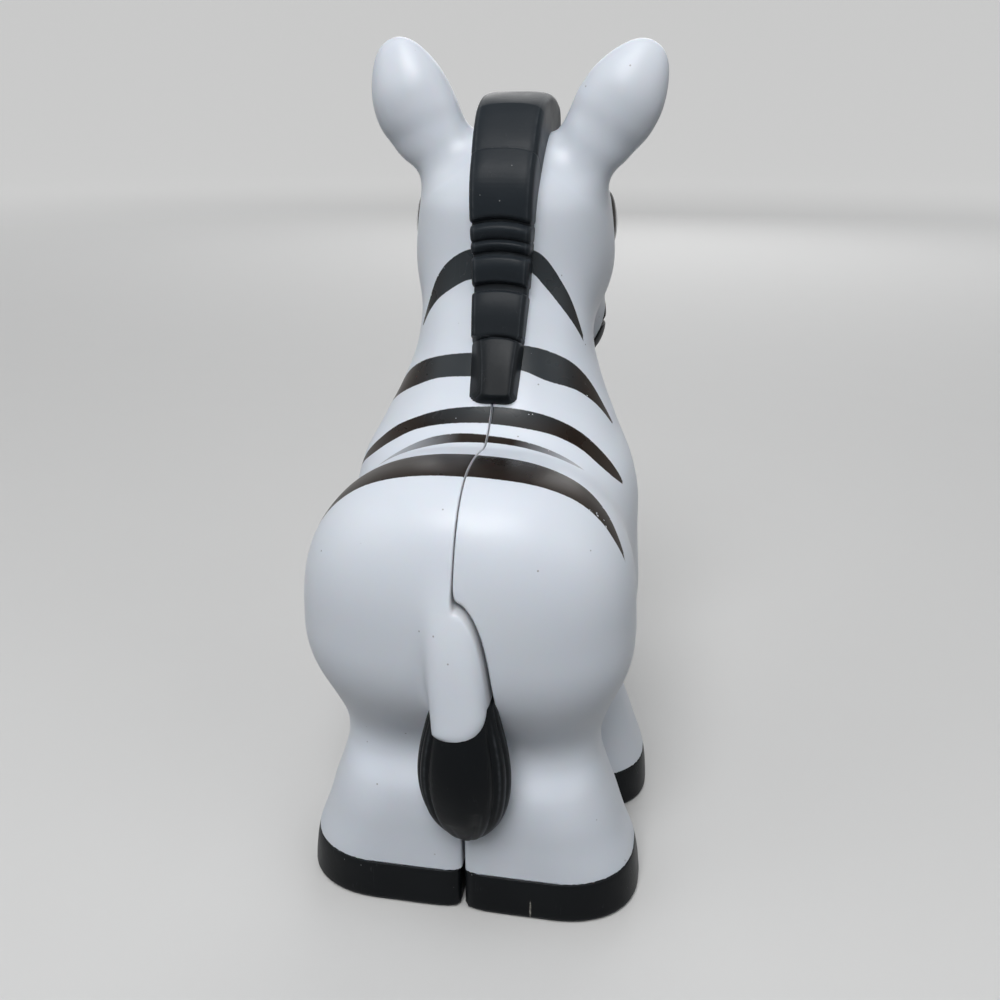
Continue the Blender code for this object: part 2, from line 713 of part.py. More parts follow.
def make_hoof(name, rows, toe_power, side):
    """A black hoof: a slab under the open foot of a leg, with a spigot that plugs it."""
    spigot_top = HOOF_HEIGHT + SPIGOT_HEIGHT
    spigot_inset = WALL + 2 * GAP
    rings = [
        hoof_ring(rows, toe_power, 0.0, 0.0, HOOF_EDGE, side),
        hoof_ring(rows, toe_power, HOOF_EDGE, HOOF_EDGE, 0.0, side),
        hoof_ring(rows, toe_power, HOOF_HEIGHT, HOOF_HEIGHT, 0.0, side),
        hoof_ring(rows, toe_power, HOOF_HEIGHT, spigot_top, spigot_inset, side),
        hoof_ring(rows, toe_power, spigot_top, spigot_top, spigot_inset, side),
    ]
    return loft(name, rings)


# Mane


def spaced(places):
    """The same path with its places at equal distances."""
    lengths = np.concatenate([[0.0], np.cumsum(np.linalg.norm(np.diff(places, axis=0), axis=1))])
    even = np.linspace(0.0, lengths[-1], len(places))
    return np.stack([np.interp(even, lengths, places[:, axis]) for axis in (0, 1)], -1)


def mane_path():
    """Places on the back line, from the withers over the poll to the brow, and their outward directions."""
    rows = np.array(NECK_SHARES)
    heights = NECK_FOOT_HEIGHT + rows[:, 0] * (NECK_TOP_HEIGHT - NECK_FOOT_HEIGHT)
    forwards = NECK_FOOT_FORWARD + rows[:, 2] * (NECK_TOP_FORWARD - NECK_FOOT_FORWARD)
    places = []
    outwards = []
    for share in np.linspace(0.0, 1.0, MANE_RINGS):
        climb = min(1.0, share / NECK_PATH_SHARE)
        turn = max(0.0, (share - NECK_PATH_SHARE) / (1 - NECK_PATH_SHARE))
        height = MANE_FOOT_HEIGHT + climb * (HEAD_CENTRE_HEIGHT - MANE_FOOT_HEIGHT)
        forward = float(curve(height, heights, forwards))
        angle = math.pi - turn * (math.pi - MANE_END_ANGLE)
        direction = (0.0, math.cos(angle), math.sin(angle))
        start = (0.0, forward, height)
        reach = surface_along(start, direction, HEAD_LENGTH + HEAD_HEIGHT)
        places.append((forward + reach * direction[1], height + reach * direction[2]))
    places = spaced(np.array(places))
    along = np.gradient(places, axis=0)
    along /= np.linalg.norm(along, axis=1)[:, None]
    outwards = np.stack([-along[:, 1], along[:, 0]], -1)
    return places, outwards


def make_mane():
    places, outwards = mane_path()
    even = np.linspace(0.0, 1.0, MANE_RINGS)
    locks = np.array(LOCK_SHARES)
    rings = []
    for share in sorted(set(locks[:, 0]) | set(np.linspace(0.0, 1.0, MANE_STEPS))):
        place = np.array([np.interp(share, even, places[:, axis]) for axis in (0, 1)])
        outward = np.array([np.interp(share, even, outwards[:, axis]) for axis in (0, 1)])
        height = float(np.interp(share, locks[:, 0], locks[:, 1])) * MANE_CREST
        half = (MANE_FOOT_WIDTH + share * (MANE_TOP_WIDTH - MANE_FOOT_WIDTH)) / 2
        edge = MANE_EDGE
        section = [(-half, -MANE_SINK), (-half, height - edge), (edge - half, height)]
        section += [(half - edge, height), (half, height - edge), (half, -MANE_SINK)]
        rings.append([(x, *(place + rise * outward)) for x, rise in section])
    return loft("mane", rings), places, outwards


def mane_key(places, outwards, margin):
    """The blade under the mane that is trapped between the halves, grown by a margin."""
    shares = np.linspace(0.0, 1.0, len(places))
    lengths = np.concatenate([[0.0], np.cumsum(np.linalg.norm(np.diff(places, axis=0), axis=1))])
    end = KEY_INSET - margin
    cuts = np.interp((end, lengths[-1] - end), lengths, shares)
    ends = np.linspace(*cuts, KEY_RINGS)
    outline = []
    for rise, order in ((MANE_CREST / 4, 1), (-KEY_DEPTH - margin, -1)):
        for share in ends[::order]:
            spot = places + rise * outwards
            outline.append(tuple(float(np.interp(share, shares, spot[:, axis])) for axis in (0, 1)))
    half = KEY_THICKNESS / 2 + margin
    return side_plate("mane_key", outline, -half, half)


# Tail, tuft and the cutters that follow them


def tuft_rings():
    """Rings of the drop-shaped tuft, with grooves that run down it."""
    rings = []
    top = TAIL_FOOT + TUFT_LAP
    for down, width_share, shift_share in TUFT_SHARES:
        half_width = TUFT_WIDTH / 2 * width_share
        half_depth = TUFT_THICKNESS / 2 * width_share**0.5
        middle = TUFT_THICKNESS / 2 - TUFT_BACK + TUFT_SHIFT * shift_share
        ring = []
        for turn in range(TUFT_SIDES):
            angle = 2 * math.pi * turn / TUFT_SIDES
            groove = 1 - TUFT_GROOVE_SHARE * (0.5 - 0.5 * math.cos(TUFT_GROOVES * angle))
            x = -TAIL_SIDE + half_width * groove * math.cos(angle)
            ring.append((x, middle + half_depth * groove * math.sin(angle), top - down * TUFT_LENGTH))
        rings.append(ring)
    return rings


def tuft_key(margin):
    """The blade of the tuft that is trapped between the halves, grown by a margin."""
    top = TAIL_FOOT - KEY_THICKNESS / 2 + margin
    foot = TAIL_FOOT + TUFT_LAP - TUFT_KEY_SHARE * TUFT_LENGTH - margin
    rear = TUFT_THICKNESS / 2 - TUFT_BACK
    front = surface_forward((top + foot) / 2) + KEY_DEPTH + margin
    outline = [(rear, foot), (front, foot), (front, top), (rear, top)]
    half = KEY_THICKNESS / 2 + margin
    return side_plate("tuft_key", outline, -half, half)


def surface_forward(height):
    """Forward place of the back surface of the body on the parting plane, at a height."""
    start = (PART_PLANE, RUMP_CENTRE_FORWARD, height)
    return RUMP_CENTRE_FORWARD - surface_along(start, (0.0, -1.0, 0.0), RUMP_LENGTH)


def tail_pocket(margin):
    """A block round the tail. The parting line goes round its right side."""
    half = TAIL_WIDTH / 2 + TAIL_POCKET_MARGIN + margin
    top = TAIL_TOP + TAIL_POCKET_MARGIN + margin
    straight = TAIL_TOP - TAIL_CROWN
    foot = TAIL_FOOT - TAIL_POCKET_MARGIN - margin
    outline = [(half, foot), (half, straight)]
    for turn in range(1, POCKET_TURNS):
        angle = math.pi * turn / POCKET_TURNS
        swell = abs(math.cos(angle)) ** (2 / TAIL_CROWN_POWER)
        x = math.copysign(half * swell, math.cos(angle))
        outline.append((x, straight + (top - straight) * math.sin(angle) ** (2 / TAIL_CROWN_POWER)))
    outline += [(-half, straight), (-half, foot)]
    depth = TAIL_POCKET_DEPTH + margin
    rings = []
    for forward in (-TUFT_BACK - OVERRUN, depth):
        rings.append([(x - TAIL_SIDE, forward, z) for x, z in outline])
    return loft("tail_pocket", rings)


# Shells


def cap_face(height):
    """Forward place of the cut between the head and the muzzle cap, at a height."""
    drop = height - HEAD_CENTRE_HEIGHT + MUZZLE_DROP
    return HEAD_CENTRE_FORWARD + CAP_FACE_REACH + drop * math.tan(CAP_FACE_LEAN)


def half_block(side):
    """The space of one half: beyond the parting plane, above the hooves and behind the muzzle cap."""
    foot = HOOF_HEIGHT + GAP
    chin = HEAD_CENTRE_HEIGHT - MUZZLE_DROP - MUZZLE_HEIGHT / 2 - CHIN_DEPTH
    top = EAR_CENTRE_HEIGHT + EAR_LENGTH + OVERRUN
    rear = -TUFT_BACK - OVERRUN
    front = NOSE_FORWARD + OVERRUN
    outline = [(rear, foot), (front, foot), (front, chin), (cap_face(chin), chin)]
    outline += [(cap_face(top), top), (rear, top)]
    wide = HOOF_SPAN / 2 + OVERRUN
    return side_plate("half_block", outline, side * PART_PLANE, side * wide)


def cap_block(shift):
    """The space in front of the cut of the muzzle cap, shifted forward."""
    low = HEAD_CENTRE_HEIGHT - MUZZLE_DROP - MUZZLE_HEIGHT / 2 - CHIN_DEPTH / 2
    high = HEAD_CENTRE_HEIGHT + HEAD_HEIGHT
    front = NOSE_FORWARD + OVERRUN
    outline = [(cap_face(low) + shift, low), (front, low), (front, high), (cap_face(high) + shift, high)]
    return side_plate("cap_block", outline, -HEAD_WIDTH, HEAD_WIDTH)


def cap_spigot(margin):
    """The oval plug behind the muzzle cap."""
    height = HEAD_CENTRE_HEIGHT - MUZZLE_DROP
    back = cap_face(height) - CAP_SPIGOT_LENGTH - margin
    front = cap_face(height) + CAP_SPIGOT_LENGTH
    rings = []
    for forward in (back, front):
        ring = []
        for turn in range(SPIGOT_SIDES):
            angle = 2 * math.pi * turn / SPIGOT_SIDES
            x = (CAP_SPIGOT_WIDTH / 2 + margin) * math.cos(angle)
            ring.append((x, forward, height + (CAP_SPIGOT_HEIGHT / 2 + margin) * math.sin(angle)))
        rings.append(ring)
    return loft("cap_spigot", rings)


def bead(name, centre, direction, sizes):
    """An ellipsoid with one axis along a direction; sizes are half its width, height and depth."""
    across = np.cross(direction, (0.0, 0.0, 1.0))
    across /= np.linalg.norm(across)
    upward = np.cross(across, direction)
    rings = []
    for row in range(BEAD_ROWS + 1):
        tilt = math.pi * row / BEAD_ROWS
        swell = max(math.sin(tilt), POLE_SHARE)
        ring = []
        for turn in range(BEAD_SIDES):
            angle = 2 * math.pi * turn / BEAD_SIDES
            place = centre - math.cos(tilt) * sizes[2] * direction
            place = place + swell * sizes[0] * math.cos(angle) * across
            ring.append(tuple(place + swell * sizes[1] * math.sin(angle) * upward))
        rings.append(ring)
    return loft(name, rings)


def nostril(side):
    """The dent of a nostril in the front of the muzzle cap."""
    height = HEAD_CENTRE_HEIGHT - MUZZLE_DROP
    start = (side * NOSTRIL_SPACING / 2, HEAD_CENTRE_FORWARD + MUZZLE_REACH, height)
    direction = np.array((0.0, math.cos(NOSTRIL_RISE), math.sin(NOSTRIL_RISE)))
    reach = surface_along(start, direction, MUZZLE_LENGTH)
    sizes = (NOSTRIL_WIDTH / 2, NOSTRIL_HEIGHT / 2, NOSTRIL_DEPTH / 2)
    return bead("nostril", np.array(start) + reach * direction, direction, sizes)


def eye_ball(name, side, margin):
    """An oval bead that sits in the side of the head, its centre just inside the surface."""
    turn = side * EYE_TURN + HEAD_TURN
    level = math.cos(EYE_LIFT)
    direction = np.array((math.sin(turn) * level, math.cos(turn) * level, math.sin(EYE_LIFT)))
    start = (0.0, HEAD_CENTRE_FORWARD, HEAD_CENTRE_HEIGHT)
    reach = surface_along(start, direction, HEAD_WIDTH) - EYE_SINK
    sizes = [size / 2 + margin for size in (EYE_WIDTH, EYE_HEIGHT, EYE_DEPTH)]
    return bead(name, np.array(start) + reach * direction, direction, sizes)


def boss_places():
    """(forward, z) places of the bosses that join the halves."""
    return (
        (RUMP_CENTRE_FORWARD, RUMP_CENTRE_HEIGHT),
        (CHEST_CENTRE_FORWARD + CHEST_LENGTH / 5, CHEST_CENTRE_HEIGHT),
        (HEAD_CENTRE_FORWARD, HEAD_CENTRE_HEIGHT + BOSS_RADIUS),
    )


def hollow_form(mane_places, mane_outwards):
    """The hollow of the body: it leaves ribs round the slots and a wall behind the muzzle cap."""
    core = form("core", lambda *place: trunk_field(*place, WALL) + WALL, CORE_CELL)
    margin = GAP + RIB_WALL
    combine(core, mane_key(mane_places, mane_outwards, margin), "DIFFERENCE")
    combine(core, tuft_key(margin), "DIFFERENCE")
    return combine(core, cap_block(-WALL), "DIFFERENCE")


def make_shell(name, side, skin, core, mane_places, mane_outwards):
    """One hollow half of the white body."""
    block = half_block(side)
    pocket = tail_pocket(0.0 if side > 0 else GAP)
    combine(block, pocket, "UNION" if side > 0 else "DIFFERENCE")
    shell = combine(copy_of(skin, name), block, "INTERSECT")
    combine(shell, copy_of(core, "core"), "DIFFERENCE")
    for forward, height in boss_places():
        wide = surface_along((0.0, forward, height), (side, 0.0, 0.0), HOOF_SPAN)
        combine(
            shell,
            rod("boss", (forward, height), side * PART_PLANE, side * (wide - WALL / 2), BOSS_RADIUS),
            "UNION",
        )
        if side > 0:
            bore = rod(
                "bore", (forward, height), -PEG_LENGTH, PEG_LENGTH + 2 * GAP, PEG_RADIUS + GAP
            )
            combine(shell, bore, "DIFFERENCE")
        else:
            peg = rod("peg", (forward, height), -PEG_LENGTH, PEG_LENGTH, PEG_RADIUS)
            combine(shell, peg, "UNION")
    combine(shell, mane_key(mane_places, mane_outwards, GAP), "DIFFERENCE")
    combine(shell, tuft_key(GAP), "DIFFERENCE")
    combine(shell, eye_ball("eye_socket", side, GAP), "DIFFERENCE")
    combine(shell, cap_spigot(GAP), "DIFFERENCE")
    return shell


# Finish


def paint(found, name, colour, roughness):
    material = bpy.data.materials.get(name) or bpy.data.materials.new(name)
    material.use_nodes = True
    shader = material.node_tree.nodes["Principled BSDF"]
    shader.inputs["Base Color"].default_value = (*colour, 1.0)
    shader.inputs["Roughness"].default_value = roughness
    shader.inputs["Metallic"].default_value = 0.0
    found.data.materials.clear()
    found.data.materials.append(material)


def finish(found, name, colour, roughness):
    """Closes hairline seams left by the cuts, shades the piece and gives it its material."""
    shape = bmesh.new()
    shape.from_mesh(found.data)
    bmesh.ops.remove_doubles(shape, verts=shape.verts, dist=GAP * WELD_SHARE)
    bmesh.ops.dissolve_degenerate(shape, edges=shape.edges, dist=GAP * WELD_SHARE)
    bmesh.ops.triangulate(shape, faces=shape.faces)
    shape.to_mesh(found.data)
    shape.free()
    found.data.shade_smooth()
    found.data.set_sharp_from_angle(angle=SHARP_ANGLE)
    paint(found, name, colour, roughness)


def main():
    for found in list(bpy.data.objects):
        bpy.data.objects.remove(found)

    skin = form("skin", skin_field, SKIN_CELL)
    seat = form("seat", lambda *place: skin_field(*place) - SEAT_GAP, SEAT_CELL)

    mane, mane_places, mane_outwards = make_mane()
    combine(mane, copy_of(seat, "seat_copy"), "DIFFERENCE")
    combine(mane, mane_key(mane_places, mane_outwards, 0.0), "UNION")

    tuft = loft("tail_tuft", tuft_rings())
    combine(tuft, seat, "DIFFERENCE")
    combine(tuft, tuft_key(0.0), "UNION")

    core = hollow_form(mane_places, mane_outwards)
    cap = combine(copy_of(skin, "muzzle_cap"), cap_block(GAP), "INTERSECT")
    combine(cap, cap_spigot(0.0), "UNION")
    for side in (1, -1):
        combine(cap, nostril(side), "DIFFERENCE")

    shells = [
        make_shell("left_body_shell", 1, skin, core, mane_places, mane_outwards),
        make_shell("right_body_shell", -1, skin, core, mane_places, mane_outwards),
    ]
    bpy.data.objects.remove(skin)
    bpy.data.objects.remove(core)

    for shell in shells:
        finish(shell, "white plastic", WHITE, WHITE_ROUGHNESS)
    for found in (mane, tuft, cap):
        finish(found, "black plastic", BLACK, BLACK_ROUGHNESS)
    legs = (("front", FRONT_LEG, FRONT_TOE_POWER), ("rear", REAR_LEG, REAR_TOE_POWER))
    for place, rows, toe_power in legs:
        for name, side in (("left", 1), ("right", -1)):
            hoof = make_hoof(f"{place}_{name}_hoof", rows, toe_power, side)
            finish(hoof, "black plastic", BLACK, BLACK_ROUGHNESS)
    for name, side in (("left", 1), ("right", -1)):
        finish(eye_ball(f"{name}_eye", side, 0.0), "eye plastic", EYE_WHITE, EYE_ROUGHNESS)


if __name__ == "__main__":
    main()
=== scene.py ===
import math

import bpy
import numpy as np
from bpy.props import FloatProperty, FloatVectorProperty, PointerProperty
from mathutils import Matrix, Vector

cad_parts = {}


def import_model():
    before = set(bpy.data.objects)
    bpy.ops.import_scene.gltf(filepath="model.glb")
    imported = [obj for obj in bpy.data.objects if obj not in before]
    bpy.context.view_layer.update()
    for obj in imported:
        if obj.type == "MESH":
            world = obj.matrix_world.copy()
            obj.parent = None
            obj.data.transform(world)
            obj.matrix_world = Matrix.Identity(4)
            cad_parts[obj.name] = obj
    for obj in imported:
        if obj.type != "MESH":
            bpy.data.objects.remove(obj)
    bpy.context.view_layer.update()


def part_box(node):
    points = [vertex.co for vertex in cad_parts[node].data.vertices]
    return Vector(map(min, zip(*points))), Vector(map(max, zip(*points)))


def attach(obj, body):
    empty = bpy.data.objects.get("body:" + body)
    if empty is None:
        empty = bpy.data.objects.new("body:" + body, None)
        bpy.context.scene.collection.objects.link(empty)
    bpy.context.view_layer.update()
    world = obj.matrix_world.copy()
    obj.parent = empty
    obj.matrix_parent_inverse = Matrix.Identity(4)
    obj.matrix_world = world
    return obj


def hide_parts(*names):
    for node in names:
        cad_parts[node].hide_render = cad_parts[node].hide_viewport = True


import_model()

bl_info = {
    "name": "Toy zebra figure",
    "version": (1, 0, 0),
    "blender": (4, 5, 0),
    "location": "3D View > Sidebar > Toy zebra",
    "description": "The shown pieces, finishes and stage of a moulded toy zebra in two half shells",
    "category": "Object",
}

MM = 0.001

# Fits of the moulded form
GAP = 0.30 * MM
TINY = 1e-9

# Hooves and legs. A row of the tables is: height, centre out from the parting plane,
# half width, forward shift, reach to the rear, reach to the front.
HOOF_SPAN = 40.4 * MM
HOOF_HEIGHT = 5.5 * MM
LEG_HEIGHT = 40.0 * MM
REAR_FOOT_LENGTH = 15.0 * MM
FRONT_FOOT_LENGTH = 14.5 * MM
FRONT_HEEL = 20.0 * MM
REAR_HEEL_SHARE = 0.587
FRONT_HEEL_SHARE = 0.552
LEG_SHIFT = 1.2 * MM
LEG_MEET = 0.5 * MM
REAR_LEG_SHARES = (
    (-0.075, 1.00, 1.00, 0.00, 1.00, 1.00),
    (0.000, 1.00, 1.00, 0.00, 1.00, 1.00),
    (0.138, 0.96, 0.96, 0.00, 0.985, 0.98),
    (0.230, 0.892, 0.892, 0.00, 0.978, 0.945),
    (0.330, 0.825, 0.832, 0.00, 0.958, 0.905),
    (0.395, 0.775, 0.790, 0.00, 0.895, 0.88),
    (0.475, 0.73, 0.75, 0.00, 0.69, 0.86),
    (0.650, 0.75, 0.77, 0.17, 0.75, 1.00),
    (0.825, 0.78, 0.78, 1.00, 0.85, 1.13),
    (1.000, 0.78, 0.53, 1.00, 0.63, 1.13),
)
FRONT_LEG_SHARES = (
    (-0.075, 1.00, 1.00, 0.00, 1.00, 1.00),
    (0.000, 1.00, 1.00, 0.00, 1.00, 1.00),
    (0.138, 0.97, 0.97, 0.00, 0.99, 0.98),
    (0.275, 0.88, 0.88, 0.00, 0.89, 0.92),
    (0.475, 0.75, 0.77, 0.00, 0.70, 0.86),
    (0.650, 0.78, 0.82, 0.00, 0.75, 0.95),
    (0.825, 0.78, 0.75, 0.00, 0.81, 1.00),
    (1.000, 0.78, 0.49, 0.00, 0.75, 0.92),
)
INNER_POWER = 9.0
HEEL_POWER = 2.3
REAR_TOE_POWER = 3.2
FRONT_TOE_POWER = 2.8
HOOF_SEAT = 0.06 * MM
LEG_GAP_TOP = 17.0 * MM
LEG_GAP_GROWTH = 5.0
HOOF_INNER = 0.28 * MM
HOOF_SIDES = 96
HOOF_ROUND_STEPS = 7
HOOF_WALL_STEPS = 6

# Rump and chest
RUMP_WIDTH = HOOF_SPAN * 0.916
RUMP_LENGTH = 23.0 * MM
RUMP_RISE = 17.4 * MM
RUMP_DROP = 12.6 * MM
RUMP_CENTRE_HEIGHT = LEG_HEIGHT - 4.4 * MM
RUMP_OVERHANG = 2.5 * MM
CHEST_WIDTH = HOOF_SPAN * 0.866
CHEST_LENGTH = 28.0 * MM
CHEST_DEPTH = 33.0 * MM
CHEST_CENTRE_HEIGHT = LEG_HEIGHT - 4.0 * MM
CHEST_FRONT = 38.0 * MM
RUMP_POWER = 2.5
CHEST_POWER = 2.9
CHEST_END_POWER = 2.4
RUMP_SWAY = 0.5 * MM
SWAY_HEIGHT = 12.0 * MM
SWAY_LENGTH = 16.0 * MM

# Neck. A row is: height, half width, forward place, half length.
NECK_FOOT_HEIGHT = LEG_HEIGHT - 10.0 * MM
NECK_TOP_HEIGHT = NECK_FOOT_HEIGHT + 48.0 * MM
NECK_FOOT_FORWARD = 26.0 * MM
NECK_TOP_FORWARD = 38.3 * MM
NECK_WIDTH = 21.2 * MM
NECK_LENGTH = 18.0 * MM
NECK_SHARES = (
    (0.000, 1.13, 0.00, 1.00),
    (0.167, 1.38, 0.09, 1.28),
    (0.292, 1.56, 0.14, 1.37),
    (0.375, 1.52, 0.17, 1.40),
    (0.458, 1.35, 0.27, 1.30),
    (0.542, 1.17, 0.43, 1.17),
    (0.625, 1.04, 0.57, 1.07),
    (0.708, 1.00, 0.70, 1.02),
    (0.833, 1.00, 0.88, 1.00),
    (1.000, 0.96, 1.00, 1.00),
)
NECK_POWER = 2.3
NECK_SWAY = 0.5 * MM

# Head and muzzle
HEAD_WIDTH = 23.4 * MM
HEAD_LENGTH = 22.0 * MM
HEAD_HEIGHT = 23.6 * MM
HEAD_CENTRE_HEIGHT = NECK_TOP_HEIGHT - 4.4 * MM
HEAD_CENTRE_FORWARD = NECK_TOP_FORWARD + 1.5 * MM
MUZZLE_WIDTH = 24.4 * MM
MUZZLE_LENGTH = 16.6 * MM
MUZZLE_HEIGHT = 15.6 * MM
MUZZLE_DROP = 13.3 * MM
MUZZLE_REACH = 8.4 * MM
CHEEK_WIDTH = 22.8 * MM
CHEEK_LENGTH = 17.0 * MM
CHEEK_HEIGHT = 15.0 * MM
CHEEK_DROP = 5.6 * MM
CHEEK_REACH = 2.2 * MM
HEAD_POWER = 2.2
HEAD_SWAY = -0.25 * MM
HEAD_TURN = math.radians(8.0)
CAP_FACE_REACH = 5.8 * MM
CAP_FACE_TURN = math.radians(4.0)
CAP_FACE_LEAN = math.radians(24.0)
CHIN_DEPTH = 2.0 * MM
NOSTRIL_SPACING = 8.4 * MM
NOSTRIL_SIZE = (2.6 * MM, 2.0 * MM, 3.4 * MM)
NOSTRIL_RISE = math.radians(14.0)
NOSTRIL_EDGE = 0.5 * MM
MOUTH_DROP = 4.2 * MM
MOUTH_REACH = 9.0 * MM
MOUTH_RISE = 3.0 * MM
MOUTH_RADIUS = 0.32 * MM
MOUTH_EDGE = 0.3 * MM
CAP_EDGE = 0.4 * MM

# Ears
EAR_LENGTH = 14.1 * MM
EAR_WIDTH = 9.3 * MM
EAR_THICKNESS = 5.4 * MM
EAR_SPACING = 24.9 * MM
EAR_CENTRE_HEIGHT = HEAD_CENTRE_HEIGHT + 14.8 * MM
EAR_FORWARD = HEAD_CENTRE_FORWARD - 3.6 * MM
EAR_TILT = math.radians(25.0)
EAR_ROLL = math.radians(6.0)
EAR_TAPER_SHARE = 0.3
EAR_POWER = 2.2
EAR_STEM_RADIUS = 3.9 * MM
EAR_STEM_SPREAD = 5.2 * MM
EAR_STEM_HEIGHT = 7.6 * MM
EAR_STEM_FLATNESS_SHARE = 0.75
EAR_DISH_WIDTH = 6.4 * MM
EAR_DISH_LENGTH = 10.0 * MM
EAR_DISH_DEPTH = 3.4 * MM
EAR_DISH_FORWARD = 4.4 * MM
EAR_FOLD = 0.55 * MM
EAR_FOLD_DROP = 4.0 * MM
EAR_FOLD_WIDTH = 1.5 * MM

# Eyes
EYE_WIDTH = 6.2 * MM
EYE_HEIGHT = 8.2 * MM
EYE_DEPTH = 3.0 * MM
EYE_TURN = math.radians(77.0)
EYE_LIFT = math.radians(2.0)
EYE_SINK = 0.8 * MM
EYE_RINGS = 60
EYE_SIDES = 80

# Tail and tuft
TAIL_SIDE = 1.1 * MM
TAIL_WIDTH = 6.1 * MM
TAIL_THICKNESS = 5.0 * MM
TAIL_TOP = LEG_HEIGHT + 1.0 * MM
TAIL_FOOT = TAIL_TOP - 13.8 * MM
TAIL_TOP_BACK = 1.3 * MM
TAIL_FOOT_BACK = 3.1 * MM
TAIL_POWER = 3.2
TAIL_CROWN = 10.5 * MM
TAIL_CROWN_POWER = 2.8
TAIL_FOOT_POWER = 1.8
TAIL_LEAN = 1.4 * MM
TAIL_DROP = 0.6 * MM
TAIL_CORNER = 2.4 * MM
TAIL_CORNER_LEAN = 1.4 * MM
TAIL_TURN = 0.5 * MM
TAIL_POCKET_DEPTH = 4.0 * MM
TUFT_LENGTH = 19.0 * MM
TUFT_LAP = 3.3 * MM
TUFT_WIDTH = 10.2 * MM
TUFT_THICKNESS = 6.8 * MM
TUFT_BACK = 5.9 * MM
TUFT_SHIFT = 3.0 * MM
# A row is: share of the length down, share of the width, forward shift as a share.
TUFT_SHARES = (
    (0.00, 0.62, 0.20),
    (0.06, 0.71, 0.12),
    (0.18, 0.84, 0.04),
    (0.32, 0.95, 0.00),
    (0.46, 1.00, 0.00),
    (0.60, 0.97, 0.08),
    (0.74, 0.85, 0.24),
    (0.86, 0.64, 0.50),
    (0.94, 0.41, 0.72),
    (1.00, 0.12, 0.92),
)
# A row is: degrees from the rear, share down where it starts and ends, depth, width in degrees.
TUFT_GROOVES = (
    (-74.0, 0.00, 0.80, 1.0, 7.0),
    (-47.0, 0.05, 0.92, 0.9, 6.0),
    (52.0, 0.05, 0.95, 1.0, 7.0),
    (82.0, 0.00, 0.80, 0.8, 8.0),
    (24.0, 0.62, 1.00, 0.8, 7.0),
    (-18.0, 0.74, 1.00, 0.5, 8.0),
    (120.0, 0.05, 0.90, 0.8, 8.0),
    (155.0, 0.05, 0.90, 0.8, 8.0),
    (-120.0, 0.05, 0.90, 0.8, 8.0),
    (-155.0, 0.05, 0.90, 0.8, 8.0),
)
TUFT_BRINK = 1.6
TUFT_GROOVE_SWING = 0.18
TUFT_GROOVE_START = 0.12
TUFT_GROOVE_END = 0.25
TUFT_TIP_SHARE = 0.05
TUFT_END_CLOSENESS = 0.35
TUFT_RINGS = 150
TUFT_SIDES = 300

# Mane. A lock's row is: share of the path where it starts and ends, its heights there as a share
# of the crest, and the height of the crease before it.
MANE_FOOT_HEIGHT = NECK_FOOT_HEIGHT + 25.8 * MM
MANE_FOOT_WIDTH = 5.5 * MM
MANE_TOP_WIDTH = 9.2 * MM
MANE_SINK = 1.6 * MM
MANE_END_ANGLE = math.radians(62.0)
NECK_PATH_SHARE = 0.52
MANE_PLACES = 120
MANE_RINGS = 620
MANE_SIDES = 120
MANE_POWER = 12.0
CHAMFER_SIDE_SHARE = 0.13
CHAMFER_DOWN_SHARE = 0.11
MANE_CORNER = 0.018
MANE_FOOT_ROUND = 0.012
MANE_BROW_ROUND = 0.02
MANE_END_DEPTH = 0.7
MANE_LEAN = 0.6
CREASE_SAG = 0.012
LOCK_SHOULDER = 0.011
LOW_LOCK_END = 0.185
LOW_LOCK_DRAFT = 0.75 * MM
LOW_LOCK_SLOPE = 1.2
LOCK_SWELL = 0.08
LOCK_ROWS = (
    (-0.010, 0.180, 0.50, 0.62, 0.20),
    (0.190, 0.314, 0.60, 0.70, 0.44),
    (0.346, 0.418, 0.68, 0.72, 0.44),
    (0.438, 0.460, 0.66, 0.66, 0.50),
    (0.470, 0.502, 0.74, 0.76, 0.58),
    (0.520, 0.664, 0.82, 1.14, 0.58),
    (0.669, 1.100, 1.11, 0.72, 1.10),
)
MANE_RIDGE = ((0.0, 0.0), (0.67, 0.0), (0.714, 0.12), (0.772, 0.26), (0.823, 0.22), (0.94, 0.12), (1.0, 0.0))

# Finish: the chipped ink, the scrape on a hoof, and a painted sky reflection that turns the ink bluer,
# fading out across and down
CHIP_PLACE = (-13.8 * MM, 18.5 * MM, 48.7 * MM)
CHIP_SIZE = (2.4 * MM, 3.5 * MM, 1.6 * MM)
SCRAPE_PLACE = (-8.1 * MM, 24.9 * MM, 1.5 * MM)
SCRAPE_SIZE = (0.14 * MM, 3.0 * MM, 1.6 * MM)
PAINTED_SKY_REFLECTION_INK = (0.030, 0.036, 0.041)
SKY_REFLECTION_REACH = (6.0 * MM, 11.5 * MM)
SKY_REFLECTION_RISE = (52.0 * MM, 56.0 * MM)
PLASTIC_IOR = 1.48

# Grids, floor and lamps
GRID_MARGIN = 2.0 * MM
SEAM_GRID_REACH = 0.5 * MM
TAIL_GRID_REACH = 5.2 * MM
CROWN_GRID_FOOT = 38.5 * MM
CAP_CELL = 0.3 * MM
FLOOR_PLAIN_REACH = 0.12
FLOOR_REACH = 1.1
FLOOR_BEND = 0.6
FLOOR_WALL_TOP = 1.6
FLOOR_SIDES = 96
LAMP_TARGET = (0.0, 0.0, 0.045)
SIDES = (("left", 1), ("right", -1))

# Fillets where two forms meet
TORSO_BLEND = 5.0 * MM
LEG_BLEND = 5.0 * MM
NECK_BLEND = 3.0 * MM
HEAD_BLEND = 3.5 * MM
MUZZLE_BLEND = 5.0 * MM
EAR_BLEND = 2.5 * MM
EAR_RIM_BLEND = 0.8 * MM
TAIL_BLEND = 1.6 * MM
END_BLEND = 2.0 * MM

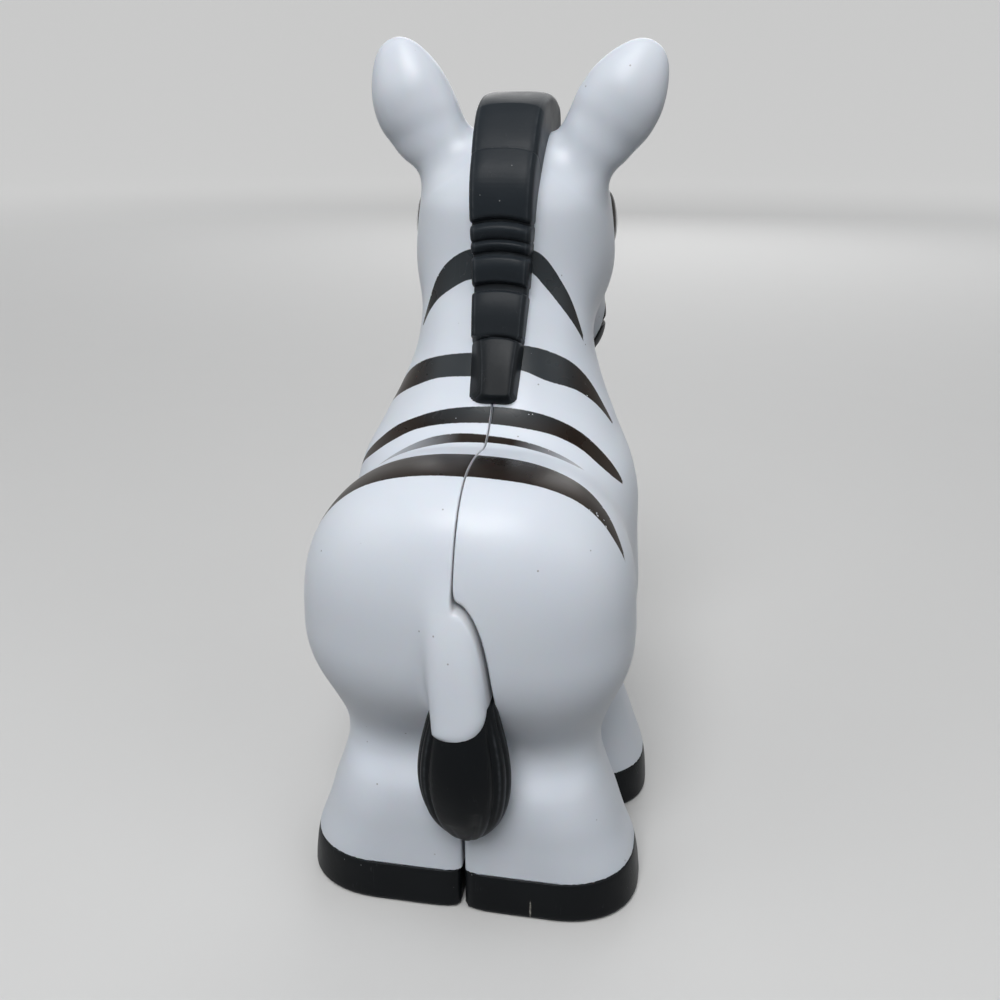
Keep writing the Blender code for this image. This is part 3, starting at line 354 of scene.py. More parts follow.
NOSE_FORWARD = HEAD_CENTRE_FORWARD + MUZZLE_REACH + MUZZLE_LENGTH / 2
MIDDLE_FORWARD = (NOSE_FORWARD - TUFT_BACK) / 2
RUMP_CENTRE_FORWARD = RUMP_LENGTH / 2 - RUMP_OVERHANG
CHEST_CENTRE_FORWARD = CHEST_FRONT - CHEST_LENGTH / 2
CAMERA_PLACE = (-20.2 * MM, MIDDLE_FORWARD + 88.7 * MM, 88.8 * MM)
CAMERA_TURN = math.radians(10.0)
CAMERA_PITCH = math.radians(22.0)

# Printed bands. A band is: slope of its plane in degrees, the forward and up place of its axis in
# millimetres, which way it looks (1 rear and up, -1 to the face), and its rows for the left and
# the right side. A row is: degrees round the axis, lower edge and upper edge in millimetres.
# The bands of the brow are alike on both sides.
BROW_ROWS = (
    ((0, 82.2, 83.6), (14, 82.4, 83.9), (28, 83.2, 84.3), (40, 84.4, 84.4)),
    ((0, 79.0, 80.4), (12, 79.2, 80.6), (22, 79.9, 80.8), (31, 81.0, 81.0)),
    ((0, 75.9, 77.2), (10, 76.1, 77.3), (17, 76.6, 77.4), (23, 77.5, 77.5)),
)
BANDS = (
    (
        90.0, 38.0, 0.0, 1.0,
        ((0, 69.0, 72.6), (22, 68.7, 72.2), (33, 67.4, 71.1), (41, 66.0, 69.5), (46, 64.5, 67.6),
         (50, 62.8, 64.4), (52, 62.3, 62.3)),
        ((0, 69.9, 72.9), (18, 69.8, 72.4), (27, 68.0, 71.4), (36, 65.6, 69.0), (44, 63.1, 65.8),
         (49, 61.2, 62.0), (51, 60.4, 60.4)),
    ),
    (
        60.0, 34.0, 44.0, 1.0,
        ((0, 6.8, 9.7), (12, 6.8, 9.65), (24, 6.65, 9.45), (34, 6.05, 9.15), (46, 5.4, 8.3),
         (54, 5.0, 7.2), (61, 4.8, 4.8)),
        ((0, 8.0, 10.9), (10, 7.85, 10.85), (20, 6.95, 10.55), (34, 6.4, 9.4), (44, 5.3, 7.4),
         (50, 4.2, 5.4), (56, 3.0, 3.0)),
    ),
    (
        35.0, 26.0, 36.0, 1.0,
        ((0, 4.6, 6.7), (17, 4.4, 6.35), (28, 4.05, 5.9), (37, 3.3, 5.5), (46, 2.75, 4.7),
         (53, 3.0, 4.2), (62, 3.4, 3.4)),
        ((0, 4.5, 6.7), (12, 4.35, 6.65), (24, 4.1, 6.35), (33, 3.4, 5.7), (40, 2.3, 4.7),
         (46, 1.8, 3.6), (54, 2.0, 2.0)),
    ),
    (
        0.0, 0.0, 34.0, 1.0,
        ((0, 16.5, 17.7), (12, 16.4, 17.8), (22, 16.1, 17.6), (32, 15.9, 16.9), (42, 15.9, 15.9)),
        ((0, 16.6, 17.6), (8, 16.5, 17.5), (19, 16.3, 17.3), (30, 16.2, 16.9), (38, 16.3, 16.3)),
    ),
    (
        0.0, 0.0, 34.0, 1.0,
        ((0, 5.2, 11.3), (15, 5.3, 11.2), (25, 5.5, 11.1), (35, 5.9, 10.8), (45, 6.2, 10.0),
         (52, 6.5, 8.8), (59, 7.0, 7.0)),
        ((0, 5.3, 11.1), (12, 5.3, 10.9), (25, 5.7, 10.6), (37, 6.1, 10.0), (45, 6.05, 8.7),
         (52, 5.9, 7.2), (60, 6.1, 6.1)),
    ),
    *((90.0, 38.0, 0.0, -1.0, rows, rows) for rows in BROW_ROWS),
)

# The thinnest band is printed weakly towards its ends
THIN_BAND_FORWARD = 17.0 * MM
THIN_BAND_REACH = 1.3 * MM
THIN_BAND_FOOT = 46.0 * MM
THIN_BAND_START = 3.0 * MM
THIN_BAND_FADE = 8.0 * MM
THIN_BAND_LOSS = 0.55


def world(points):
    """Places given as x, forward and up, as places in the frame: forward is turned round."""
    return np.stack([points[..., 0], MIDDLE_FORWARD - points[..., 1], points[..., 2]], -1)


# Settings of the pieces


def colour_setting(name, description, default):
    return FloatVectorProperty(
        name=name, description=description, default=default, subtype="COLOR", size=3, min=0.0, max=1.0
    )


def share_setting(name, description, default, low=0.0, high=1.0):
    return FloatProperty(
        name=name, description=description, default=default, min=low, max=high, subtype="FACTOR"
    )


def length_setting(name, description, default, low=0.0):
    return FloatProperty(
        name=name, description=description, default=default, min=low, unit="LENGTH", precision=5
    )


def power_setting(name, description, default):
    return FloatProperty(name=name, description=description, default=default, min=0.0, unit="POWER")


class ZebraFinishSettings(bpy.types.PropertyGroup):
    white_colour: colour_setting("White plastic", "Colour of the body halves", (0.745, 0.795, 0.865))
    black_colour: colour_setting(
        "Black plastic", "Colour of mane, tuft, hooves and muzzle", (0.0060, 0.0078, 0.0098)
    )
    # The ink is dark, tinted brown by a painted warm reflection
    ink_and_reflection_colour: colour_setting("Printing ink", "Colour of the printed bands", (0.014, 0.0085, 0.0055))
    eye_colour: colour_setting("Eye white", "Colour of the white of the eyes", (0.84, 0.85, 0.86))
    white_roughness: share_setting("White roughness", "Roughness of the white plastic", 0.36)
    black_roughness: share_setting("Black roughness", "Roughness of the black plastic", 0.40)
    ink_roughness: share_setting("Ink roughness", "Roughness of the printed bands", 0.30)
    # This also sets the strength of the painted highlight on edges and of the painted shade along the
    # parting groove
    wear_and_painted_light: share_setting("Wear", "How much scuffs, specks and rubbed edges show", 1.0, 0.0, 2.0)


class ZebraBodySettings(bpy.types.PropertyGroup):
    cell: length_setting(
        "Mesh cell", "Spacing of the grid that the body is worked out on", 0.42 * MM, 0.2 * MM
    )
    seam_gap: length_setting(
        "Seam gap", "Gap between the halves along the parting line", 0.10 * MM, 0.04 * MM
    )
    seam_edge: length_setting(
        "Seam edge", "Rounding of the edges along the parting line", 0.24 * MM, 0.05 * MM
    )
    tail_gap: length_setting(
        "Tail gap", "Gap beside the tail, where the parting line goes round it", 0.32 * MM, 0.1 * MM
    )
    print_edge: length_setting(
        "Print edge", "Softness of the edges of the printed bands", 0.05 * MM, 0.01 * MM
    )


class ZebraManeSettings(bpy.types.PropertyGroup):
    crest: length_setting("Crest", "Unit that the heights of the locks are shares of", 3.4 * MM, 1.0 * MM)
    draft: length_setting("Draft", "How far each side of the mane leans in at a crest's height", 0.12 * MM)
    crease: length_setting("Crease", "How far the sides draw in at a crease", 0.16 * MM)


class ZebraTuftSettings(bpy.types.PropertyGroup):
    groove: length_setting("Groove", "Depth of the deepest groove of the tuft", 0.42 * MM)


class ZebraHoofSettings(bpy.types.PropertyGroup):
    edge: length_setting("Hoof edge", "Rounding of the lower edge of a hoof", 0.7 * MM, 0.1 * MM)
    top_edge: length_setting("Hoof top edge", "Rounding of the upper edge of a hoof", 0.18 * MM, 0.05 * MM)


class ZebraEyeSettings(bpy.types.PropertyGroup):
    pupil: share_setting("Pupil", "Width of the pupil as a share of the eye", 0.60, 0.1, 0.95)
    rim: share_setting("Rim", "Where the black rim starts, as a share of the eye", 0.86, 0.5)


class ZebraStageSettings(bpy.types.PropertyGroup):
    floor_colour: colour_setting("Floor", "Colour of the floor and the backdrop", (0.66, 0.66, 0.655))
    floor_bounce: share_setting(
        "Floor bounce", "Share of its light that the floor throws back at the toy", 0.12
    )
    backdrop_glow: share_setting(
        "Backdrop glow", "How much paler the far floor and backdrop look to the camera", 0.68
    )
    sky_strength: FloatProperty(
        name="Sky strength", description="Strength of the even light all round", default=0.26, min=0.0
    )
    top_power: power_setting("Top power", "Power of the large soft lamp overhead, in watts", 1.0)
    rear_power: power_setting("Rear power", "Power of the soft lamp behind the toy, in watts", 2.9)
    front_power: power_setting("Front power", "Power of the soft lamp in front of the toy, in watts", 0.9)
    side_power: power_setting(
        "Side power", "Power of each of the two soft lamps at the sides, in watts", 0.7
    )


# Fields: a number for each place, negative inside a form and about the distance outside


def unit(value):
    """A value held between none and one."""
    return np.clip(value, 0.0, 1.0)


def quarter_circle(share):
    """Height of a quarter circle at a share of its foot: steep at none, level at one."""
    return np.sqrt(np.maximum(1 - (1 - unit(share)) ** 2, 0.0))


def blend(one, other, radius):
    """Union of two fields: the smaller one, lowered by a parabola where the two are alike."""
    mix = unit(0.5 + 0.5 * (other - one) / radius)
    return other * (1 - mix) + one * mix - radius * mix * (1 - mix)


def limit(one, other, radius):
    """Common part of two fields: the larger one, raised where the two are alike."""
    return -blend(-one, -other, radius)


def curve(place, places, values):
    """Cubic through the rows of a table, with its slope at each row from its neighbours."""
    steps = np.diff(places)
    rises = np.diff(values) / steps
    slopes = np.concatenate([rises[:1], rises, rises[-1:]])
    slopes = (slopes[:-1] + slopes[1:]) / 2
    row = np.clip(np.searchsorted(places, place) - 1, 0, len(steps) - 1)
    share = unit((place - places[row]) / steps[row])
    rest = 1 - share
    ends = values[row] * (1 + 2 * share) * rest**2 + values[row + 1] * (3 - 2 * share) * share**2
    return ends + steps[row] * share * rest * (slopes[row] * rest - slopes[row + 1] * share)


def oval_field(across, along, half_across, half_along, power):
    """Distance to a superellipse: its radius share less one, over the slope of that share."""
    u = np.abs(across / half_across) + TINY
    v = np.abs(along / half_along) + TINY
    radius = (u**power + v**power) ** (1 / power)
    slope = np.hypot((u / radius) ** (power - 1) / half_across, (v / radius) ** (power - 1) / half_along)
    return (radius - 1) / slope


def egg_field(offset, size, power, end_power):
    """Distance to an egg: a superellipse across (x and z), closed forward and back by another."""
    half = [part / 2 for part in size]
    x, forward, z = (np.abs(part / reach) + TINY for part, reach in zip(offset, half))
    section = (x**power + z**power) ** (1 / power)
    radius = (section**end_power + forward**end_power) ** (1 / end_power)
    lean = (section / radius) ** (end_power - 1)
    slope = np.sqrt(
        (lean * (x / section) ** (power - 1) / half[0]) ** 2
        + (lean * (z / section) ** (power - 1) / half[2]) ** 2
        + ((forward / radius) ** (end_power - 1) / half[1]) ** 2
    )
    return (radius - 1) / slope


def leg_rows(shares, heel, foot_length, heel_share):
    """The table of a leg in metres: height, centre, half width, forward place, reaches."""
    rows = np.array(shares)
    quarter = HOOF_SPAN / 4
    return (
        rows[:, 0] * LEG_HEIGHT,
        rows[:, 1] * quarter,
        rows[:, 2] * quarter,
        heel + heel_share * foot_length + rows[:, 3] * LEG_SHIFT,
        rows[:, 4] * heel_share * foot_length,
        rows[:, 5] * (1 - heel_share) * foot_length,
    )


REAR_LEG = leg_rows(REAR_LEG_SHARES, 0.0, REAR_FOOT_LENGTH, REAR_HEEL_SHARE), REAR_TOE_POWER
FRONT_LEG = leg_rows(FRONT_LEG_SHARES, FRONT_HEEL, FRONT_FOOT_LENGTH, FRONT_HEEL_SHARE), FRONT_TOE_POWER


def leg_field(side, forward, z, rows, toe_power):
    """A leg is a stack of sections with a flat inner face, a round heel and a squarer toe."""
    centre, half, middle, heel, toe = (curve(z, rows[0], column) for column in rows[1:])
    behind = forward < middle
    power = np.where(side < centre, INNER_POWER, np.where(behind, HEEL_POWER, toe_power))
    half = np.where(side < centre, half + LEG_MEET, half)
    column = oval_field(side - centre, forward - middle, half, np.where(behind, heel, toe), power)
    return limit(column, np.maximum(rows[0][0] - z, z - rows[0][-1]), END_BLEND)


def neck_line():
    """Heights and forward places of the neck's middle."""
    rows = np.array(NECK_SHARES)
    heights = NECK_FOOT_HEIGHT + rows[:, 0] * (NECK_TOP_HEIGHT - NECK_FOOT_HEIGHT)
    return heights, NECK_FOOT_FORWARD + rows[:, 2] * (NECK_TOP_FORWARD - NECK_FOOT_FORWARD)


def neck_field(x, forward, z):
    """The neck is a stack of ovals that lean forward and flare into the shoulders."""
    rows = np.array(NECK_SHARES)
    heights, places = neck_line()
    half_width = curve(z, heights, rows[:, 1] * NECK_WIDTH / 2)
    half_length = curve(z, heights, rows[:, 3] * NECK_LENGTH / 2)
    middle = curve(z, heights, places)
    column = oval_field(x - NECK_SWAY, forward - middle, half_width, half_length, NECK_POWER)
    return limit(column, np.maximum(heights[0] - z, z - heights[-1]), NECK_BLEND)


def head_field(x, forward, z):
    """Three eggs, for the head, the cheeks and the muzzle, turned a little to the left."""
    x = x - HEAD_SWAY
    ahead = forward - EAR_FORWARD
    forward = EAR_FORWARD + ahead * math.cos(HEAD_TURN) + x * math.sin(HEAD_TURN)
    x = x * math.cos(HEAD_TURN) - ahead * math.sin(HEAD_TURN)
    ahead = forward - HEAD_CENTRE_FORWARD
    up = z - HEAD_CENTRE_HEIGHT

    def egg(size, reach=0.0, drop=0.0):
        return egg_field((x, ahead - reach, up + drop), size, HEAD_POWER, HEAD_POWER)

    head = egg((HEAD_WIDTH, HEAD_LENGTH, HEAD_HEIGHT))
    cheeks = egg((CHEEK_WIDTH, CHEEK_LENGTH, CHEEK_HEIGHT), CHEEK_REACH, CHEEK_DROP)
    muzzle = egg((MUZZLE_WIDTH, MUZZLE_LENGTH, MUZZLE_HEIGHT), MUZZLE_REACH, MUZZLE_DROP)
    return blend(blend(head, cheeks, MUZZLE_BLEND), muzzle, MUZZLE_BLEND)


def ear_field(x, forward, z):
    """An ear is a flat egg leaning outwards on a stem, wider at its foot.

    Its front face is dished, and a shallow fold crosses its back.
    """
    out = np.abs(x) - EAR_SPACING / 2
    up = z - EAR_CENTRE_HEIGHT
    tilt = EAR_TILT - np.sign(x) * EAR_ROLL
    across = out * np.cos(tilt) - up * np.sin(tilt)
    along = out * np.sin(tilt) + up * np.cos(tilt)
    spread = 1 - EAR_TAPER_SHARE * np.clip(along / EAR_LENGTH, -0.5, 0.5)
    depth = forward - EAR_FORWARD
    leaf_size = (EAR_WIDTH, EAR_THICKNESS, EAR_LENGTH)
    leaf = egg_field((across / spread, depth, along), leaf_size, EAR_POWER, 2.0)
    behind = unit(0.5 - depth / EAR_THICKNESS)
    leaf = leaf + EAR_FOLD * behind * np.exp(-(((along + EAR_FOLD_DROP) / EAR_FOLD_WIDTH) ** 2))
    root_side = out + EAR_STEM_SPREAD
    root_up = up + EAR_STEM_HEIGHT
    stem_square = EAR_STEM_SPREAD**2 + EAR_STEM_HEIGHT**2
    share = unit((root_side * EAR_STEM_SPREAD + root_up * EAR_STEM_HEIGHT) / stem_square)
    stem = np.sqrt(
        (root_side - share * EAR_STEM_SPREAD) ** 2
        + (depth / EAR_STEM_FLATNESS_SHARE) ** 2
        + (root_up - share * EAR_STEM_HEIGHT) ** 2
    )
    ear = blend(leaf, stem - EAR_STEM_RADIUS, END_BLEND)
    dish_size = (EAR_DISH_WIDTH, 2 * EAR_DISH_DEPTH, EAR_DISH_LENGTH)
    dish = egg_field((across, depth - EAR_DISH_FORWARD, along), dish_size, 2.0, 2.0)
    return limit(ear, -dish, EAR_RIM_BLEND)


def trunk_field(x, forward, z):
    """The white form without its ears and tail: eggs, legs and neck joined by fillets."""
    height_share = (z - RUMP_CENTRE_HEIGHT) / SWAY_HEIGHT
    length_share = (forward - RUMP_CENTRE_FORWARD) / SWAY_LENGTH
    x = x - RUMP_SWAY * np.exp(-(height_share**2) - length_share**2)
    rump_depth = 2 * np.where(z < RUMP_CENTRE_HEIGHT, RUMP_DROP, RUMP_RISE)
    rump_offset = (x, forward - RUMP_CENTRE_FORWARD, z - RUMP_CENTRE_HEIGHT)
    rump = egg_field(rump_offset, (RUMP_WIDTH, RUMP_LENGTH, rump_depth), RUMP_POWER, RUMP_POWER)
    chest_offset = (x, forward - CHEST_CENTRE_FORWARD, z - CHEST_CENTRE_HEIGHT)
    chest_size = (CHEST_WIDTH, CHEST_LENGTH, CHEST_DEPTH)
    chest = egg_field(chest_offset, chest_size, CHEST_POWER, CHEST_END_POWER)
    field = blend(rump, chest, TORSO_BLEND)
    for rows, toe_power in (REAR_LEG, FRONT_LEG):
        field = blend(field, leg_field(np.abs(x), forward, z, rows, toe_power), LEG_BLEND)
    field = blend(field, neck_field(x, forward, z), NECK_BLEND)
    return blend(field, head_field(x, forward, z), HEAD_BLEND)


def body_field(x, forward, z):
    """The white form without its tail."""
    return blend(trunk_field(x, forward, z), ear_field(x, forward, z), EAR_BLEND)


def tail_share(x, z):
    """Radius share of the tail from behind: none on its middle line and one on its outline.

    It is a bar that leans left towards its top, with a tall oval crown and a foot whose right corner is
    rounder than its left one.
    """
    half = TAIL_WIDTH / 2
    up = unit((z - TAIL_FOOT) / (TAIL_TOP - TAIL_FOOT))
    across = (x + TAIL_SIDE - TAIL_LEAN * up) / half
    crown = np.maximum(z - TAIL_TOP + TAIL_CROWN, 0.0) / TAIL_CROWN
    corner = TAIL_CORNER - TAIL_CORNER_LEAN * np.clip(across, -1.0, 1.0)
    foot = np.maximum(TAIL_FOOT - TAIL_DROP + corner - z, 0.0) / corner
    across = np.abs(across)
    top = (across**TAIL_CROWN_POWER + crown**TAIL_CROWN_POWER + TINY) ** (1 / TAIL_CROWN_POWER)
    low = (across**TAIL_FOOT_POWER + foot**TAIL_FOOT_POWER + TINY) ** (1 / TAIL_FOOT_POWER)
    return np.where(crown > 0, top, low)


def tail_outline(x, z):
    """Distance to the tail's outline from behind."""
    return (tail_share(x, z) - 1) * TAIL_WIDTH / 2


def tail_field(x, forward, z):
    """The white tail: its outline, domed across and leaning back as it hangs."""
    share = unit((TAIL_TOP - z) / (TAIL_TOP - TAIL_FOOT))
    middle = -TAIL_TOP_BACK - share * (TAIL_FOOT_BACK - TAIL_TOP_BACK)
    along = np.abs(forward - middle) / (TAIL_THICKNESS / 2)
    radius = (tail_share(x, z) ** TAIL_POWER + along**TAIL_POWER + TINY) ** (1 / TAIL_POWER)
    return (radius - 1) * TAIL_THICKNESS / 2


def cap_cut(x, forward, z):
    """Distance ahead of the leaning cut of the muzzle, negative behind it and under the chin."""
    forward = forward + x * math.tan(CAP_FACE_TURN)
    drop = z - HEAD_CENTRE_HEIGHT + MUZZLE_DROP
    face = HEAD_CENTRE_FORWARD + CAP_FACE_REACH + drop * math.tan(CAP_FACE_LEAN)
    chin = HEAD_CENTRE_HEIGHT - MUZZLE_DROP - MUZZLE_HEIGHT / 2 - CHIN_DEPTH
    return np.minimum((forward - face) * math.cos(CAP_FACE_LEAN), z - chin)


def side_share(x, forward, z, margin):
    """Distance into the right half: away from the parting plane, and past the tail's pocket.

    The pocket is the tail's outline grown by a margin.
    """
    pocket = np.maximum(tail_outline(x, z) - margin, forward - TAIL_POCKET_DEPTH - margin)
    foot = np.maximum(TAIL_FOOT - GAP - z, z - TAIL_TOP - TAIL_CROWN)
    return blend(-x, np.maximum(pocket, foot), TAIL_TURN)


def parting_field(side, body, x, forward, z):
    """Distance past the parting line of a half: half the seam's gap from the line between the halves.

    Round the tail the line is the tail's outline for the left half, and a gap outside it for the right.
    """
    half_gap = body.seam_gap / 2
    if side > 0:
        return side_share(x, forward, z, 2 * half_gap) + half_gap
    half_gap = half_gap * (1 + LEG_GAP_GROWTH * unit((LEG_GAP_TOP - z) / (LEG_GAP_TOP / 2)))
    hang = unit((TAIL_TOP - z) / (TAIL_TOP - TAIL_FOOT))
    return half_gap - side_share(x, forward, z, body.tail_gap * (0.6 + 0.8 * hang))


def half_field(side, body):
    """The field of one half: the white form, cut at the parting line, the hooves and the muzzle."""
    edge = body.seam_edge

    def found(x, forward, z):
        field = body_field(x, forward, z)
        if side > 0:
            field = blend(field, tail_field(x, forward, z), TAIL_BLEND)
        parting = parting_field(side, body, x, forward, z)
        field = limit(field, cap_cut(x, forward, z), edge)
        field = limit(field, HOOF_HEIGHT + HOOF_SEAT - z, HOOF_SEAT)
        return limit(field, parting, edge)

    return found


def band_distance(x, forward, z):
    """Distance inside the nearest printed band, negative outside it.

    For each band a place is turned into an angle round the band's axis and a place along it. The
    distance is the smallest of: below the upper edge, above the lower edge, short of the tip.
    """
    best = np.full(np.shape(x), -1.0)
    for slope, axis_forward, axis_up, facing, left_rows, right_rows in BANDS:
        lean = math.radians(slope)
        ahead = forward - axis_forward * MM
        up = z - axis_up * MM
        along = ahead * math.cos(lean) + up * math.sin(lean)
        out = facing * (up * math.cos(lean) - ahead * math.sin(lean))
        angle = np.degrees(np.arctan2(np.abs(x), out))
        for rows, here in ((left_rows, x >= 0), (right_rows, x < 0)):
            rows = np.array(rows, float)
            low = curve(angle, rows[:, 0], rows[:, 1]) * MM
            high = curve(angle, rows[:, 0], rows[:, 2]) * MM
            tip = np.radians(rows[-1, 0] - angle) * np.hypot(x, out)
            inside = np.minimum(np.minimum(high - along, along - low), tip)
            best = np.where(here, np.maximum(best, inside), best)
    return best


# Meshes


def new_piece(name, points, faces, normals=None, marks=None):
    """An object at the origin from places and lists of faces, with its marks as point attributes."""
    mesh = bpy.data.meshes.new(name)
    mesh.from_pydata(points.tolist(), [], faces)
    mesh.validate()
    for key, values in (marks or {}).items():
        layer = mesh.attributes.new(key, "FLOAT", "POINT")
        layer.data.foreach_set("value", np.ascontiguousarray(values, dtype=np.float32))
    mesh.shade_smooth()
    if normals is not None:
        mesh.normals_split_custom_set_from_vertices((normals * (1.0, -1.0, 1.0)).tolist())
    made = bpy.data.objects.new(name, mesh)
    bpy.context.scene.collection.objects.link(made)
    return made


def tube_faces(rings, sides):
    """Quads between rings of as many points each, closed round, and a fan at each end.

    The points are the rings in order, then one point for each end.
    """
    ring, turn = np.meshgrid(np.arange(rings - 1), np.arange(sides), indexing="ij")
    after = (turn + 1) % sides
    quads = np.stack(
        [ring * sides + turn, ring * sides + after, (ring + 1) * sides + after, (ring + 1) * sides + turn],
        -1,
    ).reshape(-1, 4)
    turn, after = turn[0], after[0]
    first = np.stack([np.full(sides, rings * sides), after, turn], -1)
    start = (rings - 1) * sides
    last = np.stack([np.full(sides, rings * sides + 1), start + turn, start + after], -1)
    return quads, np.concatenate([first, last])


def new_tube(name, rings, marks, outward=True):
    """A closed piece through a grid of rings, with the mean of the first and last ring as poles."""
    points = np.concatenate([rings.reshape(-1, 3), rings[[0, -1]].mean(axis=1)])
    turn = -1 if outward else 1
    quads, fans = (faces[:, ::turn].tolist() for faces in tube_faces(*rings.shape[:2]))
    marks = {key: np.append(values, [values[0].mean(), values[-1].mean()]) for key, values in marks.items()}
    return new_piece(name, world(points), quads + fans, marks=marks)


def net(values, axes):
    """The surface where a gridded field is zero, as quads.

    Each grid cell that the surface passes through gets one point, the mean of the places where the
    surface crosses the cell's edges. Each crossed edge gets one quad between its four cells.
    """
    inside = values < 0
    cell_shape = np.array(values.shape) - 1
    quads = []
    places = []
    for axis in range(3):
        others = [other for other in range(3) if other != axis]
        turned = np.moveaxis(inside, axis, 0)
        crossed = turned[:-1] != turned[1:]
        crossed[:, [0, -1]] = False
        crossed[:, :, [0, -1]] = False
        found = np.stack(np.nonzero(crossed), -1)
        index = np.empty_like(found)
        index[:, [axis, *others]] = found
        ahead = index + np.eye(3, dtype=int)[axis]
        start = values[tuple(index.T)]
        share = start / (start - values[tuple(ahead.T)])
        place = index + share[:, None] * np.eye(3)[axis]
        corners = np.repeat(index[:, None], 4, axis=1)
        corners[:, :, others[0]] -= np.array([1, 0, 0, 1])
        corners[:, :, others[1]] -= np.array([1, 1, 0, 0])
        turn = (start < 0) if axis == 1 else (start >= 0)
        corners[turn] = corners[turn][:, ::-1]
        quads.append(corners)
        places.append(np.repeat(place[:, None], 4, axis=1))
    corners = np.concatenate(quads).reshape(-1, 3)
    places = np.concatenate(places).reshape(-1, 3)
    flat = np.ravel_multi_index(corners.T, cell_shape)
    faces = np.unique(flat, return_inverse=True)[1]
    hits = np.bincount(faces)
    points = np.stack([np.bincount(faces, places[:, axis]) / hits for axis in range(3)], -1)
    points = [np.interp(place, np.arange(len(axis)), axis) for place, axis in zip(points.T, axes)]
    return np.stack(points, -1), faces.reshape(-1, 4)[:, ::-1]


def slope_of(field, points, value=None):
    """Slope of a field at points, from its change over a small step along each axis."""
    step = 0.01 * MM
    if value is None:
        value = field(*points.T)
    return np.stack([(field(*(points + step * row).T) - value) / step for row in np.eye(3)], -1)


def settle(field, points, reach):
    """Moves points along the field's slope to its surface, no further than the reach."""
    start = points
    for _ in range(2):
        value = field(*points.T)
        slope = slope_of(field, points, value)
        square = np.maximum((slope**2).sum(-1), TINY)
        points = points - (value / square)[:, None] * slope
        points = start + np.clip(points - start, -reach, reach)
    return points


def grid_values(field, axes, band):
    """A field on a grid, worked out at every fourth place and then only near its surface."""
    stride = 4
    coarse_axes = [axis[::stride] for axis in axes]
    coarse = field(*np.meshgrid(*coarse_axes, indexing="ij"))
    nearest = [
        np.minimum((np.arange(len(axis)) + stride // 2) // stride, len(part) - 1)
        for axis, part in zip(axes, coarse_axes)
    ]
    values = coarse[np.ix_(*nearest)]
    near = np.nonzero(np.abs(values) < band)
    values[near] = field(*(axis[place] for axis, place in zip(axes, near)))
    return values


def new_form(name, field, axes, band, reach, marks):
    """A closed piece round a field, with the field's slope as its normals."""
    points, faces = net(grid_values(field, axes, band), axes)
    points = settle(field, points, reach)
    normals = slope_of(field, points)
    normals /= np.linalg.norm(normals, axis=1)[:, None] + TINY
    return new_piece(name, world(points), faces.tolist(), normals, marks(points))


def surface_along(starts, directions, reach):
    """Distance from inner places, along directions, to the surface of the body, for whole arrays."""
    steps = np.linspace(0.0, reach, 600)
    places = starts[:, None] + directions[:, None] * steps[:, None]
    values = trunk_field(places[..., 0], places[..., 1], places[..., 2])
    last = np.argmax(values > 0, axis=1)
    rows = np.arange(len(starts))
    inner, outer = values[rows, last - 1], values[rows, last]
    return steps[last - 1] + (steps[last] - steps[last - 1]) * inner / (inner - outer)


def rounded(steps, low, high):
    """Grid lines from one place to another, both included."""
    return np.linspace(low, high, max(2, int(math.ceil((high - low) / steps)) + 1))


def grid_lines(cell, start, rows):
    """Grid lines from a place on. A row is how many times finer they are, and up to where."""
    stretches = []
    for finer, stop in rows:
        stretches.append(rounded(cell / finer, start, stop))
        start = stop
    return np.unique(np.concatenate(stretches).round(8))


# Nodes


